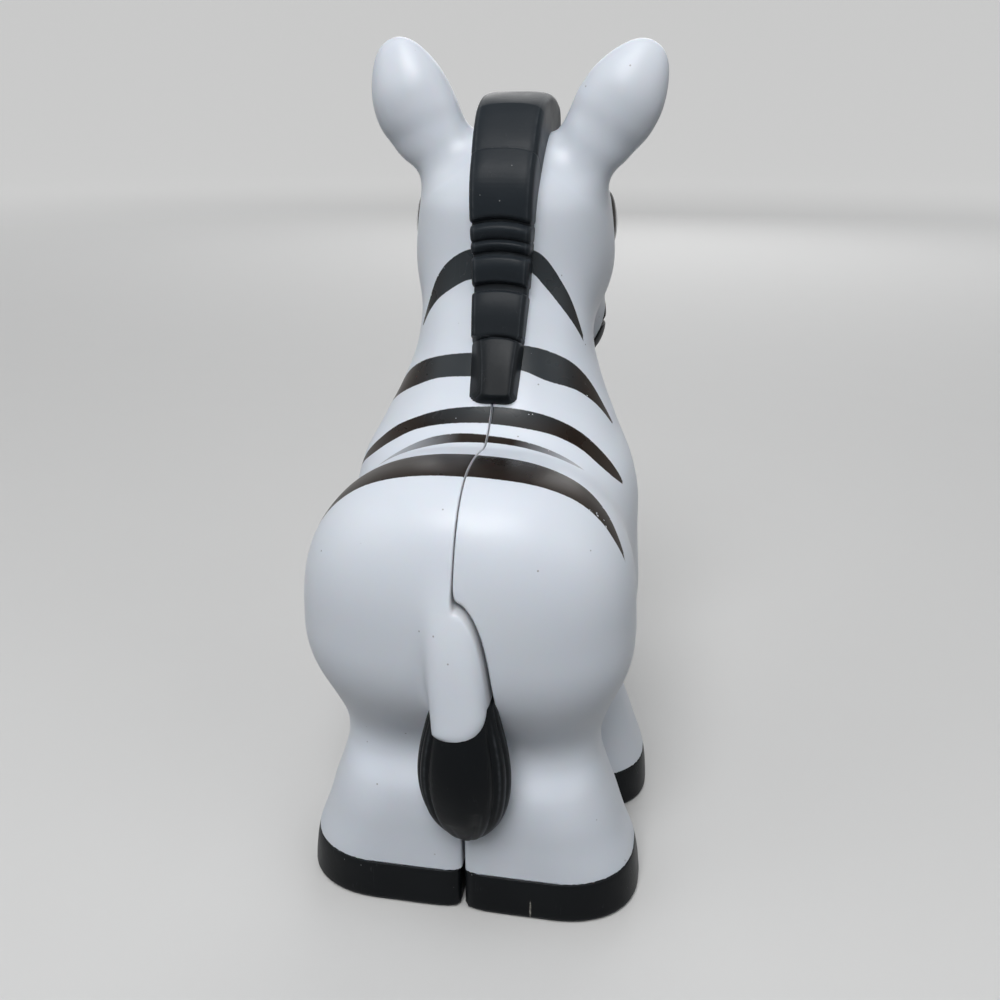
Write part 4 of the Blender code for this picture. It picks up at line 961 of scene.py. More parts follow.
class Shades:
    """The nodes of a tree. Each method adds nodes and gives an output; a value is a number or an output."""

    def __init__(self, tree, place=None):
        self.tree = tree
        self.place = place

    def put(self, socket, value):
        """Gives a socket a number or a colour, or links an output to it."""
        if isinstance(value, bpy.types.NodeSocket):
            self.tree.links.new(value, socket)
        else:
            socket.default_value = (*value, 1.0) if socket.type == "RGBA" else value

    def node(self, kind, values, **settings):
        """A node with the values of its inputs and its settings."""
        made = self.tree.nodes.new(kind)
        for key, value in settings.items():
            setattr(made, key, value)
        for key, value in values.items():
            self.put(made.inputs[key], value)
        return made

    def reckon(self, operation, *values, **settings):
        """One step of arithmetic."""
        values = dict(enumerate(values))
        return self.node("ShaderNodeMath", values, operation=operation, **settings).outputs[0]

    def times(self, first, *others):
        """The product of all values."""
        for other in others:
            first = self.reckon("MULTIPLY", first, other)
        return first

    def ramp(self, value, low, high, start=0.0, end=1.0):
        """A smooth step of a value from low to high, as numbers from start to end."""
        values = {"Value": value, "From Min": low, "From Max": high, "To Min": start, "To Max": end}
        return self.node("ShaderNodeMapRange", values, interpolation_type="SMOOTHSTEP").outputs["Result"]

    def mix(self, share, one, other):
        """A mix of two colours by a mask."""
        return self.node("ShaderNodeMix", {0: share, 6: one, 7: other}, data_type="RGBA").outputs[2]

    def noise(self, scale, detail=2.0, rough=0.5, place=None):
        values = {"Vector": place or self.place, "Scale": scale, "Detail": detail, "Roughness": rough}
        return self.node("ShaderNodeTexNoise", values).outputs["Fac"]

    def attribute(self, name):
        return self.node("ShaderNodeAttribute", {}, attribute_name=name).outputs["Fac"]

    def axes(self, place=None):
        return self.node("ShaderNodeSeparateXYZ", {"Vector": place or self.place}).outputs

    def length(self, place):
        return self.node("ShaderNodeVectorMath", {0: place}, operation="LENGTH").outputs["Value"]

    def wall(self):
        """One where the surface is upright, none where it is level."""
        up = self.axes(self.node("ShaderNodeNewGeometry", {}).outputs["Normal"])["Z"]
        return self.ramp(self.reckon("ABSOLUTE", up), 0.55, 0.8, 1.0, 0.0)

    def spot_at(self, centre, size):
        """One at a place of the piece, fading out over a size along each axis, all in metres."""
        values = {"Vector": self.place, "Location": centre, "Scale": size}
        away = self.node("ShaderNodeMapping", values, vector_type="TEXTURE").outputs["Vector"]
        return self.ramp(self.length(away), 0.5, 1.0, 1.0, 0.0)

    def group(self, tree, **values):
        return self.node("ShaderNodeGroup", {"Place": self.place, **values}, node_tree=tree).outputs

    def coat(self, shader, colour, rough, height, strength, depth):
        """Joins colour, roughness and a bump of a depth in metres to a shader's inputs."""
        self.put(shader["Base Color"], colour)
        self.put(shader["Roughness"], rough)
        bump = self.node("ShaderNodeBump", {"Height": height, "Strength": strength, "Distance": depth})
        self.put(shader["Normal"], bump.outputs["Normal"])


def new_group(name, numbers, results):
    """A node group that takes a place and numbers; gives its nodes, its inputs and its outputs."""
    tree = bpy.data.node_groups.new(name, "ShaderNodeTree")
    tree.interface.new_socket("Place", in_out="INPUT", socket_type="NodeSocketVector")
    for label, default in numbers.items():
        socket = tree.interface.new_socket(label, in_out="INPUT", socket_type="NodeSocketFloat")
        socket.default_value = default
    for label in results:
        tree.interface.new_socket(label, in_out="OUTPUT", socket_type="NodeSocketFloat")
    given = tree.nodes.new("NodeGroupInput").outputs
    return Shades(tree, given["Place"]), given, tree.nodes.new("NodeGroupOutput").inputs


def moulded_grain():
    """Fine orange peel of moulded plastic with slow changes of gloss.

    Height is fine noise plus a little coarse noise; Gloss and Tone are slow noise.
    """
    name = "moulded grain"
    if name in bpy.data.node_groups:
        return bpy.data.node_groups[name]
    shades, given, result = new_group(name, {"Fineness": 2600.0}, ("Height", "Gloss", "Tone"))

    def layer(share, *looks):
        return shades.noise(shades.times(given["Fineness"], share), *looks)

    fine = shades.noise(given["Fineness"], 2.0, 0.55)
    height = shades.reckon("ADD", shades.times(fine, 0.6), shades.times(layer(0.22, 1.0), 0.4))
    shades.put(result["Height"], height)
    shades.put(result["Gloss"], shades.ramp(layer(0.07, 3.0, 0.6), 0.3, 0.7))
    shades.put(result["Tone"], shades.ramp(layer(0.022, 2.0), 0.3, 0.7))
    return shades.tree


def scuffs():
    """Marks of use: fine upright scratches and small specks.

    A scratch is a long stretched noise where it is near its middle value, kept in patches and on
    walls. A speck is the middle of a few of the cells of a cell pattern.
    """
    name = "scuffs"
    if name in bpy.data.node_groups:
        return bpy.data.node_groups[name]
    numbers = {"Wall": 1.0, "Fineness": 900.0, "Scratches": 0.5, "Specks": 0.5}
    shades, given, result = new_group(name, numbers, ("Scratch", "Speck"))
    fineness = given["Fineness"]
    values = {"Vector": given["Place"], "Rotation": (0.10, 0.06, 0.0), "Scale": (1.0, 1.0, 0.04)}
    long_place = shades.node("ShaderNodeMapping", values, vector_type="POINT").outputs["Vector"]
    wave = shades.noise(shades.times(fineness, 1.6), 1.0, place=long_place)
    near = shades.reckon("ABSOLUTE", shades.reckon("SUBTRACT", wave, 0.5))
    patch = shades.noise(shades.times(fineness, 0.5), 2.0)
    line = shades.times(shades.ramp(near, 0.0, 0.006, 1.0, 0.0), shades.ramp(patch, 0.56, 0.66))
    shades.put(result["Scratch"], shades.times(line, given["Wall"], given["Scratches"]))
    values = {"Vector": given["Place"], "Scale": fineness}
    cells = shades.node("ShaderNodeTexVoronoi", values, feature="F1").outputs
    red = shades.node("ShaderNodeSeparateColor", {"Color": cells["Color"]}).outputs[0]
    spot = shades.ramp(cells["Distance"], 0.035, 0.085, 1.0, 0.0)
    shades.put(result["Speck"], shades.times(spot, shades.ramp(red, 0.84, 0.88), given["Specks"]))
    return shades.tree


def new_material(name):
    """A material with its nodes, which read the object's place, and its shader's inputs."""
    material = bpy.data.materials.new(name)
    material.use_nodes = True
    shades = Shades(material.node_tree)
    shades.place = shades.node("ShaderNodeTexCoord", {}).outputs["Object"]
    return material, shades, material.node_tree.nodes["Principled BSDF"].inputs


def scaled(colour, factor, lift=0.0):
    """A colour times a factor, or times one factor for each part, raised by a lift."""
    factors = factor if isinstance(factor, tuple) else (factor,) * 3
    return tuple(part * by + lift for part, by in zip(colour, factors))


def plastic_marks(shades, grain_fineness, mark_fineness, scratches, specks):
    """The grain of a moulded plastic, and its marks of use."""
    grain = shades.group(moulded_grain(), Fineness=grain_fineness)
    wall = shades.wall()
    return grain, shades.group(
        scuffs(), Wall=wall, Fineness=mark_fineness, Scratches=scratches, Specks=specks
    )


def white_plastic(finish, body):
    """White moulded plastic with printed bands.

    The band mask is the distance mark with a little noise, over the softness of the edge. Along the
    parting line the ink is missing, and painted shade with a little dirt darkens the groove.
    """
    material, shades, shader = new_material("printed white plastic")
    mix, times, ramp, reckon = shades.mix, shades.times, shades.ramp, shades.reckon
    grain, marks = plastic_marks(shades, 2600.0, 600.0, 0.5 * finish.wear_and_painted_light, finish.wear_and_painted_light)
    wobble = reckon("MULTIPLY_ADD", shades.noise(2400.0, 2.0, 0.6), 0.00009, -0.000045)
    worn = shades.spot_at(CHIP_PLACE, CHIP_SIZE)
    flakes = reckon("MULTIPLY_ADD", worn, 0.10, shades.noise(1500.0, 3.0, 0.7))
    chip = ramp(flakes, 0.69, 0.74, 0.0, 0.8 * MM)
    inside = reckon("SUBTRACT", reckon("ADD", shades.attribute("band"), wobble), chip)
    seam = shades.attribute("seam")
    edge = body.print_edge
    clear = ramp(seam, 0.03 * MM, 0.10 * MM)
    ink = times(ramp(inside, -edge, edge), clear, shades.attribute("cover"))
    white = finish.white_colour
    colour = mix(grain["Tone"], white, scaled(white, (0.965, 0.97, 0.985)))
    # Painted shade in the parting groove, with a little dirt: a brownish grey near the seam
    seam_shade_and_grime = times(ramp(seam, 0.0, 0.14 * MM, 1.0, 0.0), 0.35 * finish.wear_and_painted_light)
    colour = mix(seam_shade_and_grime, colour, (0.40, 0.36, 0.32))
    colour = mix(times(marks["Speck"], 0.6), colour, (0.12, 0.11, 0.10))
    colour = mix(times(marks["Scratch"], 0.06), colour, (0.5, 0.5, 0.5))
    ink_and_reflection_colour = mix(grain["Gloss"], finish.ink_and_reflection_colour, scaled(finish.ink_and_reflection_colour, 1.5, 0.002))
    # Painted reflection: on top of the neck beside the mane the ink turns a bluer grey, as if it mirrored
    # the sky
    across, _, up = shades.axes()
    sky_reflection = ramp(reckon("ABSOLUTE", across), *SKY_REFLECTION_REACH, 1.0, 0.0)
    ink_and_reflection_colour = mix(times(sky_reflection, ramp(up, *SKY_REFLECTION_RISE)), ink_and_reflection_colour, PAINTED_SKY_REFLECTION_INK)
    ink_and_reflection_colour = mix(times(marks["Scratch"], 0.4), ink_and_reflection_colour, (0.2, 0.2, 0.2))
    colour = mix(ink, colour, ink_and_reflection_colour)
    plain = reckon("MULTIPLY_ADD", grain["Gloss"], 0.10, finish.white_roughness - 0.05)
    change = times(ink, finish.ink_roughness - finish.white_roughness)
    height = reckon("MULTIPLY_ADD", grain["Height"], 0.35, times(ink, 0.5))
    height = reckon("SUBTRACT", height, times(marks["Scratch"], 0.4))
    shades.coat(shader, colour, reckon("ADD", plain, change), height, 0.35, 0.03 * MM)
    shades.put(shader["IOR"], PLASTIC_IOR)
    shades.put(shader["Specular IOR Level"], ramp(ink, 0.0, 1.0, 0.5, 0.22))
    shades.put(shader["Subsurface Weight"], 0.06)
    shades.put(shader["Subsurface Scale"], 1.2 * MM)
    return material


def black_plastic(finish, name, lightness_with_painted_light, shine, scratch, speck, lift=0.0):
    """Black moulded plastic, paler and rougher on edges that are worn and carry a painted highlight.

    It is paler upwards by a lift, which is a painted sheen, and how light each piece is made is partly
    painted light and shade.
    """
    material, shades, shader = new_material(name)
    mix, times, ramp, reckon = shades.mix, shades.times, shades.ramp, shades.reckon
    grain, marks = plastic_marks(shades, 2400.0, 900.0, scratch * finish.wear_and_painted_light, speck * finish.wear_and_painted_light)
    # Each piece gets its own share of the black: the mane is made lighter and the tuft, muzzle and hooves
    # darker, partly painted light and shade on one black plastic
    black = scaled(finish.black_colour, lightness_with_painted_light)
    colour = mix(grain["Tone"], black, scaled(black, 1.45, 0.001))
    # Painted sheen: the mane's black turns paler upwards, as if lit from above
    if lift:
        climb = ramp(shades.axes()["Z"], MANE_FOOT_HEIGHT, HEAD_CENTRE_HEIGHT, 0.0, lift)
        colour = mix(climb, colour, scaled(black, 3.2))
    patch = ramp(shades.noise(700.0, 3.0, 0.65), 0.38, 0.66)
    # Edge mark: paler, rougher edges, partly worn plastic and partly a painted highlight
    rubbed_and_highlit = times(shades.attribute("edge"), reckon("MULTIPLY_ADD", patch, 0.6, 0.4))
    rubbed_and_highlit = reckon("MULTIPLY", rubbed_and_highlit, finish.wear_and_painted_light, use_clamp=True)
    colour = mix(times(rubbed_and_highlit, 0.42), colour, (0.10, 0.11, 0.12))
    colour = mix(times(marks["Scratch"], 0.30), colour, (0.16, 0.17, 0.18))
    colour = mix(times(marks["Speck"], 0.8), colour, (0.42, 0.43, 0.43))
    uneven = ramp(shades.noise(3000.0, 2.0), 0.35, 0.6, 0.2, 0.8)
    scrape = times(shades.spot_at(SCRAPE_PLACE, SCRAPE_SIZE), uneven)
    colour = mix(scrape, colour, (0.42, 0.40, 0.36))
    rough = reckon("MULTIPLY_ADD", grain["Gloss"], 0.12, finish.black_roughness - 0.06)
    rough = reckon("MULTIPLY_ADD", rubbed_and_highlit, 0.08, rough)
    height = reckon("SUBTRACT", grain["Height"], times(marks["Scratch"], 0.6))
    shades.coat(shader, colour, rough, height, 0.4, 0.04 * MM)
    shades.put(shader["IOR"], PLASTIC_IOR)
    shades.put(shader["Specular IOR Level"], shine)
    return material


def eye_enamel(finish, eye):
    """Glossy printed eye: white, a black rim, a black oval pupil and a small white light in it.

    Each shape is the length of the place over half its width and height, against one.
    """
    material, shades, shader = new_material("eye print")
    mix, times, ramp, reckon = shades.mix, shades.times, shades.ramp, shades.reckon
    place = shades.attribute("eye_across"), shades.attribute("eye_up")

    def oval(centre, half):
        steps = zip(place, centre, half)
        shares = [reckon("DIVIDE", reckon("SUBTRACT", part, middle), reach) for part, middle, reach in steps]
        square = reckon("ADD", *(times(share, share) for share in shares))
        return ramp(reckon("SQRT", square), 0.97, 1.03, 1.0, 0.0)

    pupil = oval((0.10, -0.04), (eye.pupil, eye.pupil * 1.08))
    light = oval((0.26, 0.26), (0.15, 0.13))
    rim = reckon("SUBTRACT", 1.0, oval((0.0, 0.0), (eye.rim, eye.rim)))
    grain = shades.group(moulded_grain(), Fineness=1800.0)
    colour = mix(grain["Tone"], finish.eye_colour, scaled(finish.eye_colour, 0.96))
    dark = mix(grain["Gloss"], finish.ink_and_reflection_colour, scaled(finish.ink_and_reflection_colour, 1.5))
    colour = mix(reckon("MAXIMUM", pupil, rim), colour, dark)
    colour = mix(light, colour, finish.eye_colour)
    rough = reckon("MULTIPLY_ADD", grain["Gloss"], 0.06, 0.12)
    shades.coat(shader, colour, rough, grain["Height"], 0.2, 0.02 * MM)
    shades.put(shader["IOR"], 1.5)
    return material


def shared_black(finish):
    name = "black plastic"
    return bpy.data.materials.get(name) or black_plastic(finish, name, 0.5, 0.10, 0.5, 0.7)


def place_piece(made, node, material):
    """Gives a piece its material and lets it stand for its node."""
    made.data.materials.clear()
    made.data.materials.append(material)
    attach(made, "root")
    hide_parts(node)


def black_tube(node, rings, edge, material, outward=True):
    """A black piece through a grid of rings, with an edge mark for its worn edges and painted highlights."""
    made = new_tube(f"{node}_moulding", rings, {"edge": edge}, outward)
    place_piece(made, node, material)


# Pieces


def body_axes(cell):
    """Grid lines of the body: finer across the parting line, beside the tail, at its crown and its feet."""
    side = HOOF_SPAN / 2 + GRID_MARGIN
    across = ((1, -TAIL_GRID_REACH), (2.8, -SEAM_GRID_REACH), (6, SEAM_GRID_REACH), (1, side))
    upward = (
        (1, HOOF_HEIGHT - 0.3 * MM),
        (3.5, HOOF_HEIGHT + 0.42 * MM),
        (1, CROWN_GRID_FOOT),
        (2.8, TAIL_TOP + 2.2 * MM),
        (1, EAR_CENTRE_HEIGHT + EAR_LENGTH),
    )
    return (
        grid_lines(cell, -side, across),
        rounded(cell, -TUFT_BACK - GRID_MARGIN, NOSE_FORWARD + GRID_MARGIN),
        grid_lines(cell, HOOF_HEIGHT - 2.5 * MM, upward),
    )


def body_marks(side, body):
    """Marks of a half: distance inside a band, distance from the parting line, cover of the ink."""

    def found(points):
        x, forward, z = points.T
        seam = parting_field(side, body, x, forward, z)
        near = np.exp(-(((forward - THIN_BAND_FORWARD) / THIN_BAND_REACH) ** 4)) * (z > THIN_BAND_FOOT)
        thin = unit((np.abs(x) - THIN_BAND_START) / THIN_BAND_FADE) * near
        cover = 1 - THIN_BAND_LOSS * thin
        return {"band": band_distance(x, forward, z), "seam": np.abs(seam), "cover": cover}

    return found


def between(at, known, rows):
    """Rows of a path at new shares of it, on straight lines between its known shares."""
    return np.stack([np.interp(at, known, column) for column in rows.T], -1)


def mane_line():
    """Places on the back line from the withers over the poll to the brow, evenly spaced.

    A ray from inside the neck looks to the rear, then swings up and forward about the head's
    centre; the path is where it leaves the body.
    """
    share = np.linspace(0.0, 1.0, MANE_PLACES)
    climb = np.minimum(1.0, share / NECK_PATH_SHARE)
    turn = np.maximum(0.0, (share - NECK_PATH_SHARE) / (1 - NECK_PATH_SHARE))
    height = MANE_FOOT_HEIGHT + climb * (HEAD_CENTRE_HEIGHT - MANE_FOOT_HEIGHT)
    angle = math.pi - turn * (math.pi - MANE_END_ANGLE)
    none = np.zeros_like(angle)
    directions = np.stack([none, np.cos(angle), np.sin(angle)], -1)
    starts = np.stack([none, curve(height, *neck_line()), height], -1)
    reach = surface_along(starts, directions, HEAD_LENGTH + HEAD_HEIGHT)
    places = (starts + directions * reach[:, None])[:, 1:]
    lengths = np.concatenate([[0.0], np.cumsum(np.linalg.norm(np.diff(places, axis=0), axis=1))])
    places = between(np.linspace(0.0, lengths[-1], MANE_PLACES), lengths, places)
    along = np.gradient(places, axis=0)
    along /= np.linalg.norm(along, axis=1)[:, None]
    return places, np.stack([-along[:, 1], along[:, 0]], -1)


def lock_profile(share):
    """Height of the mane as a share of its crest, and how much of a lock stands at each place.

    A lock is a window with short rounded shoulders, swollen a little nearer its top. Where no lock
    stands the height is that of the crease.
    """
    stands = np.zeros_like(share)
    height = np.zeros_like(share)
    before = -1.0
    for start, end, first, last, crease in LOCK_ROWS:
        window = quarter_circle((share - start) / LOCK_SHOULDER + 0.5)
        window = window * quarter_circle((end - share) / LOCK_SHOULDER + 0.5)
        along = unit((share - start) / (end - start))
        top = first + (last - first) * along + LOCK_SWELL * np.sin(math.pi * along**1.3)
        value = crease + (top - crease) * window
        here = (share >= before) & (share <= end + LOCK_SHOULDER)
        height = np.where(here & (value > height), value, height)
        stands = np.maximum(stands, window)
        before = end
    return height + np.interp(share, *np.array(MANE_RIDGE).T), stands


def mane_rings(mane):
    """The mane: a box section with chamfered upper edges, carried along the back line.

    The section is a superellipse of high power, cut at its corners by a third term. The height
    follows the locks, whose creases sag towards the sides, and the sides draw in where no lock stands.
    Both ends are quarter circles, and the lower end has round corners.
    """
    share = np.linspace(0.0, 1.0, MANE_RINGS)
    even = np.linspace(0.0, 1.0, MANE_PLACES)
    place, outward = (between(share, even, rows) for rows in mane_line())
    turn = 2 * math.pi * (np.arange(MANE_SIDES) + 0.5) / MANE_SIDES
    angle = turn + 0.15 * np.sin(4 * turn)
    cut = 1 - (1 - CHAMFER_DOWN_SHARE) * (1 - CHAMFER_SIDE_SHARE)
    wide, tall = np.abs(np.cos(angle)), np.abs(np.sin(angle))
    corner = (CHAMFER_DOWN_SHARE * wide + CHAMFER_SIDE_SHARE * tall) / cut
    radius = (wide**MANE_POWER + tall**MANE_POWER + corner**MANE_POWER) ** (-1 / MANE_POWER)
    across = radius * np.cos(angle)
    up = radius * np.sin(angle)
    spread = unit(np.abs(across))
    height, stands = lock_profile(unit(share[:, None] + CREASE_SAG * spread**2))
    foot_share = (share[:, None] - MANE_CORNER * spread**6) / MANE_FOOT_ROUND
    close = quarter_circle(np.minimum(foot_share, (1 - share[:, None]) / MANE_BROW_ROUND))
    height = height * mane.crest * close - MANE_END_DEPTH * MANE_SINK * (1 - close)
    half = (MANE_FOOT_WIDTH + share * (MANE_TOP_WIDTH - MANE_FOOT_WIDTH)) / 2
    half = half[:, None] - mane.crease * (1 - stands)
    rise = (height - MANE_SINK) / 2 + (height + MANE_SINK) / 2 * up
    low = unit((LOW_LOCK_END - share) / LOW_LOCK_END)[:, None]
    slant = mane.draft + (share < LOW_LOCK_END)[:, None] * (LOW_LOCK_SLOPE + low) * LOW_LOCK_DRAFT
    slant = slant * unit(rise / mane.crest)
    x = (half - slant) * across - MANE_LEAN * slant
    forward = place[:, None, 0] + rise * outward[:, None, 0]
    z = place[:, None, 1] + rise * outward[:, None, 1]
    # Edge mark: pale lines at the rims of the chamfers and the ends of the locks, partly worn and partly
    # painted highlight
    rim = np.exp(-(((spread - 1 + CHAMFER_SIDE_SHARE) / 0.05) ** 2)) * (up > 0.9)
    flank = np.exp(-(((up - 1 + CHAMFER_DOWN_SHARE) / 0.07) ** 2)) * (spread > 0.93)
    brink = np.abs(np.gradient(stands, axis=0))
    brink = unit(brink / brink.max()) * (up > 0.8)
    edge = unit(rim + 0.6 * flank + 0.8 * brink) * (0.25 + 0.75 * stands)
    return np.stack([x, forward, z], -1), edge


def tuft_rings(tuft):
    """The drop-shaped tuft: ovals down its length, with grooves that run down and fade out.

    The outline is the table's curve; a groove is a bell in the angle, with a window in the length.
    """
    table = np.array(TUFT_SHARES)
    bend = np.linspace(0.0, 1.0, TUFT_RINGS)
    down = bend - np.sin(2 * math.pi * bend) / (2 * math.pi) * TUFT_END_CLOSENESS
    width = curve(down, table[:, 0], table[:, 1])
    shift = curve(down, table[:, 0], table[:, 2])
    tip = np.minimum(1.0, np.sqrt(unit((1 - down) / TUFT_TIP_SHARE)) + 0.02)
    half_width = TUFT_WIDTH / 2 * width * tip
    half_depth = TUFT_THICKNESS / 2 * np.sqrt(width) * tip
    middle = TUFT_THICKNESS / 2 - TUFT_BACK + TUFT_SHIFT * shift
    turn = 2 * math.pi * np.arange(TUFT_SIDES) / TUFT_SIDES
    from_rear = np.degrees(np.arctan2(-np.cos(turn), -np.sin(turn)))
    cut = np.zeros((TUFT_RINGS, TUFT_SIDES))
    edge = np.zeros_like(cut)
    for place, start, end, depth, wide in TUFT_GROOVES:
        swing = place * (1 - TUFT_GROOVE_SWING * down**2)[:, None]
        away = (from_rear[None] - swing + 180) % 360 - 180
        opened = unit((down - start) / TUFT_GROOVE_START) * unit((end - down) / TUFT_GROOVE_END)
        bell = np.exp(-np.abs(away / wide) ** 1.6)
        cut = np.maximum(cut, depth * bell * (opened**0.7)[:, None])
        # A groove's brinks get the edge mark: pale lines, partly worn and partly painted highlight
        brink = np.exp(-(((np.abs(away) - 1.1 * wide) / TUFT_BRINK) ** 2))
        edge = np.maximum(edge, brink * opened[:, None] * (away * place > 0))
    inset = tuft.groove * cut
    x = -TAIL_SIDE + (half_width[:, None] - inset) * np.cos(turn)
    forward = middle[:, None] + (half_depth[:, None] - inset) * np.sin(turn)
    z = np.broadcast_to((TAIL_FOOT + TUFT_LAP - down * TUFT_LENGTH)[:, None], x.shape)
    return np.stack([x, forward, z], -1), edge


def hoof_rings(rows, toe_power, side, hoof):
    """A hoof: the leg's section at each height, drawn in by quarter circles at both edges."""
    low = np.linspace(0.0, 1.0, HOOF_ROUND_STEPS) * math.pi / 2
    walls = np.linspace(hoof.edge, HOOF_HEIGHT - hoof.top_edge, HOOF_WALL_STEPS + 2)[1:-1]
    upright = np.zeros(HOOF_WALL_STEPS)
    crown = HOOF_HEIGHT - hoof.top_edge * (1 - np.sin(low))
    heights = np.concatenate([hoof.edge * (1 - np.cos(low)), walls, crown])
    insets = np.concatenate([hoof.edge * (1 - np.sin(low)), upright, hoof.top_edge * (1 - np.cos(low))])
    angle = 2 * math.pi * (np.arange(HOOF_SIDES) + 0.5) / HOOF_SIDES
    centre, half, middle, heel, toe = (curve(heights, rows[0], column)[:, None] for column in rows[1:])
    across, along = np.cos(angle)[None], np.sin(angle)[None]
    power = np.where(across < 0, INNER_POWER, np.where(along < 0, HEEL_POWER, toe_power))
    radius = (np.abs(across) ** power + np.abs(along) ** power) ** (-1 / power)
    reach = np.where(along < 0, heel, toe) - insets[:, None]
    wide = half - insets[:, None] + np.where(across < 0, LEG_MEET, 0.0)
    x = np.maximum(centre + wide * radius * across, HOOF_INNER + insets[:, None])
    forward = middle + reach * radius * along
    ring = np.stack([side * x, forward, np.broadcast_to(heights[:, None], x.shape)], -1)
    flat = np.linspace(0.15, 1.0, 5)[:-1]
    foot = ring[0].mean(axis=0)
    head = ring[-1].mean(axis=0)
    under = foot + (ring[:1] - foot) * flat[:, None, None]
    above = head + (ring[-1:] - head) * flat[::-1][:, None, None]
    none = np.zeros(len(flat))
    # The round edges get the edge mark, partly worn and partly painted highlight
    edge = np.concatenate([none, np.sin(2 * low) * 0.9, upright, np.sin(2 * low) * 0.5, none])
    rings = np.concatenate([under, ring, above])
    return rings, np.broadcast_to(edge[:, None], rings.shape[:2])


def eye_rings(side):
    """An oval bead: circles of latitude scaled to its width, height and depth.

    Its middle is sunk a little below where a ray from the head's centre leaves the head.
    """
    turn = side * EYE_TURN + HEAD_TURN
    level = math.cos(EYE_LIFT)
    direction = np.array((math.sin(turn) * level, math.cos(turn) * level, math.sin(EYE_LIFT)))
    start = np.array((0.0, HEAD_CENTRE_FORWARD, HEAD_CENTRE_HEIGHT))
    centre = start + (surface_along(start[None], direction[None], HEAD_WIDTH)[0] - EYE_SINK) * direction
    across = np.cross(direction, (0.0, 0.0, 1.0))
    across /= np.linalg.norm(across)
    upward = np.cross(across, direction)
    tilt = np.linspace(0.02, math.pi - 0.02, EYE_RINGS)[:, None, None]
    turn = 2 * math.pi * np.arange(EYE_SIDES)[None, :, None] / EYE_SIDES
    outward = -np.cos(tilt) * EYE_DEPTH / 2 * direction
    wide = np.sin(tilt) * np.cos(turn)
    tall = np.sin(tilt) * np.sin(turn)
    rings = centre + outward + wide * EYE_WIDTH / 2 * across + tall * EYE_HEIGHT / 2 * upward
    return rings, -side * wide[..., 0], tall[..., 0]


def cap_field(edge):
    """The muzzle cap: the head ahead of the leaning cut, with two nostrils and a smiling mouth.

    A nostril is a small egg taken away. The mouth is a thin tube taken away along an arc round the muzzle.
    """
    height = HEAD_CENTRE_HEIGHT - MUZZLE_DROP
    direction = np.array((0.0, math.cos(NOSTRIL_RISE), math.sin(NOSTRIL_RISE)))
    nostrils = []
    for side in (1, -1):
        start = np.array((side * NOSTRIL_SPACING / 2, HEAD_CENTRE_FORWARD + MUZZLE_REACH, height))
        nostrils.append(start + surface_along(start[None], direction[None], MUZZLE_LENGTH)[0] * direction)

    def found(x, forward, z):
        head = body_field(x, forward, z)
        field = limit(head, GAP / 2 - cap_cut(x, forward, z), edge)
        for place in nostrils:
            offset = (x - place[0], forward - place[1], z - place[2])
            field = limit(field, -egg_field(offset, NOSTRIL_SIZE, 2.0, 2.0), NOSTRIL_EDGE)
        smile = height - MOUTH_DROP + (x / MOUTH_REACH) ** 2 * MOUTH_RISE
        groove = np.hypot(z - smile, np.minimum(head, 0.0)) - MOUTH_RADIUS
        return limit(field, -groove, MOUTH_EDGE)

    return found


def stage_floor(stage):
    """Floor and backdrop in one: a disc that curves up all round into a low wall."""
    bend = np.linspace(0.0, math.pi / 2, 24)[1:]
    level = np.linspace(0.0, FLOOR_REACH, 12)[1:]
    edge = FLOOR_REACH + FLOOR_BEND
    radius = np.concatenate([level, FLOOR_REACH + FLOOR_BEND * np.sin(bend), [edge]])
    height = np.concatenate([np.zeros_like(level), FLOOR_BEND * (1 - np.cos(bend)), [FLOOR_WALL_TOP]])
    turn = 2 * math.pi * np.arange(FLOOR_SIDES) / FLOOR_SIDES
    height = np.broadcast_to(height[:, None], (len(radius), FLOOR_SIDES))
    points = np.stack([radius[:, None] * np.cos(turn), radius[:, None] * np.sin(turn), height], -1)
    quads, fans = (faces[:, ::-1].tolist() for faces in tube_faces(len(radius), FLOOR_SIDES))
    points = np.concatenate([points.reshape(-1, 3), np.zeros((1, 3))])
    floor = new_piece("studio_floor", points, quads + fans[:FLOOR_SIDES])
    material, shades, shader = new_material("studio paper")
    colour = stage.floor_colour
    rays = shades.node("ShaderNodeLightPath", {}).outputs
    seen = shades.reckon("MAXIMUM", rays["Is Camera Ray"], rays["Is Glossy Ray"])
    seen = shades.reckon("MAXIMUM", seen, rays["Is Transmission Ray"])
    shown = shades.mix(shades.noise(60.0, 4.0, 0.6), colour, scaled(colour, 0.985))
    shades.put(shader["Base Color"], shades.mix(seen, scaled(colour, stage.floor_bounce), shown))
    glow = shades.ramp(shades.length(shades.place), FLOOR_PLAIN_REACH, FLOOR_REACH, 0.0, stage.backdrop_glow)
    shades.put(shader["Emission Color"], colour)
    shades.put(shader["Emission Strength"], shades.times(seen, glow))
    shades.put(shader["Roughness"], 0.75)
    floor.data.materials.append(material)
    return floor


def add_lamp(name, power, size, place):
    """A round soft lamp that looks at the middle of the toy."""
    lamp = bpy.data.lights.new(name, "AREA")
    lamp.shape = "DISK"
    lamp.size = size
    lamp.energy = power
    made = bpy.data.objects.new(name, lamp)
    made.location = place
    made.rotation_euler = (Vector(LAMP_TARGET) - Vector(place)).to_track_quat("-Z", "Y").to_euler()
    bpy.context.scene.collection.objects.link(made)


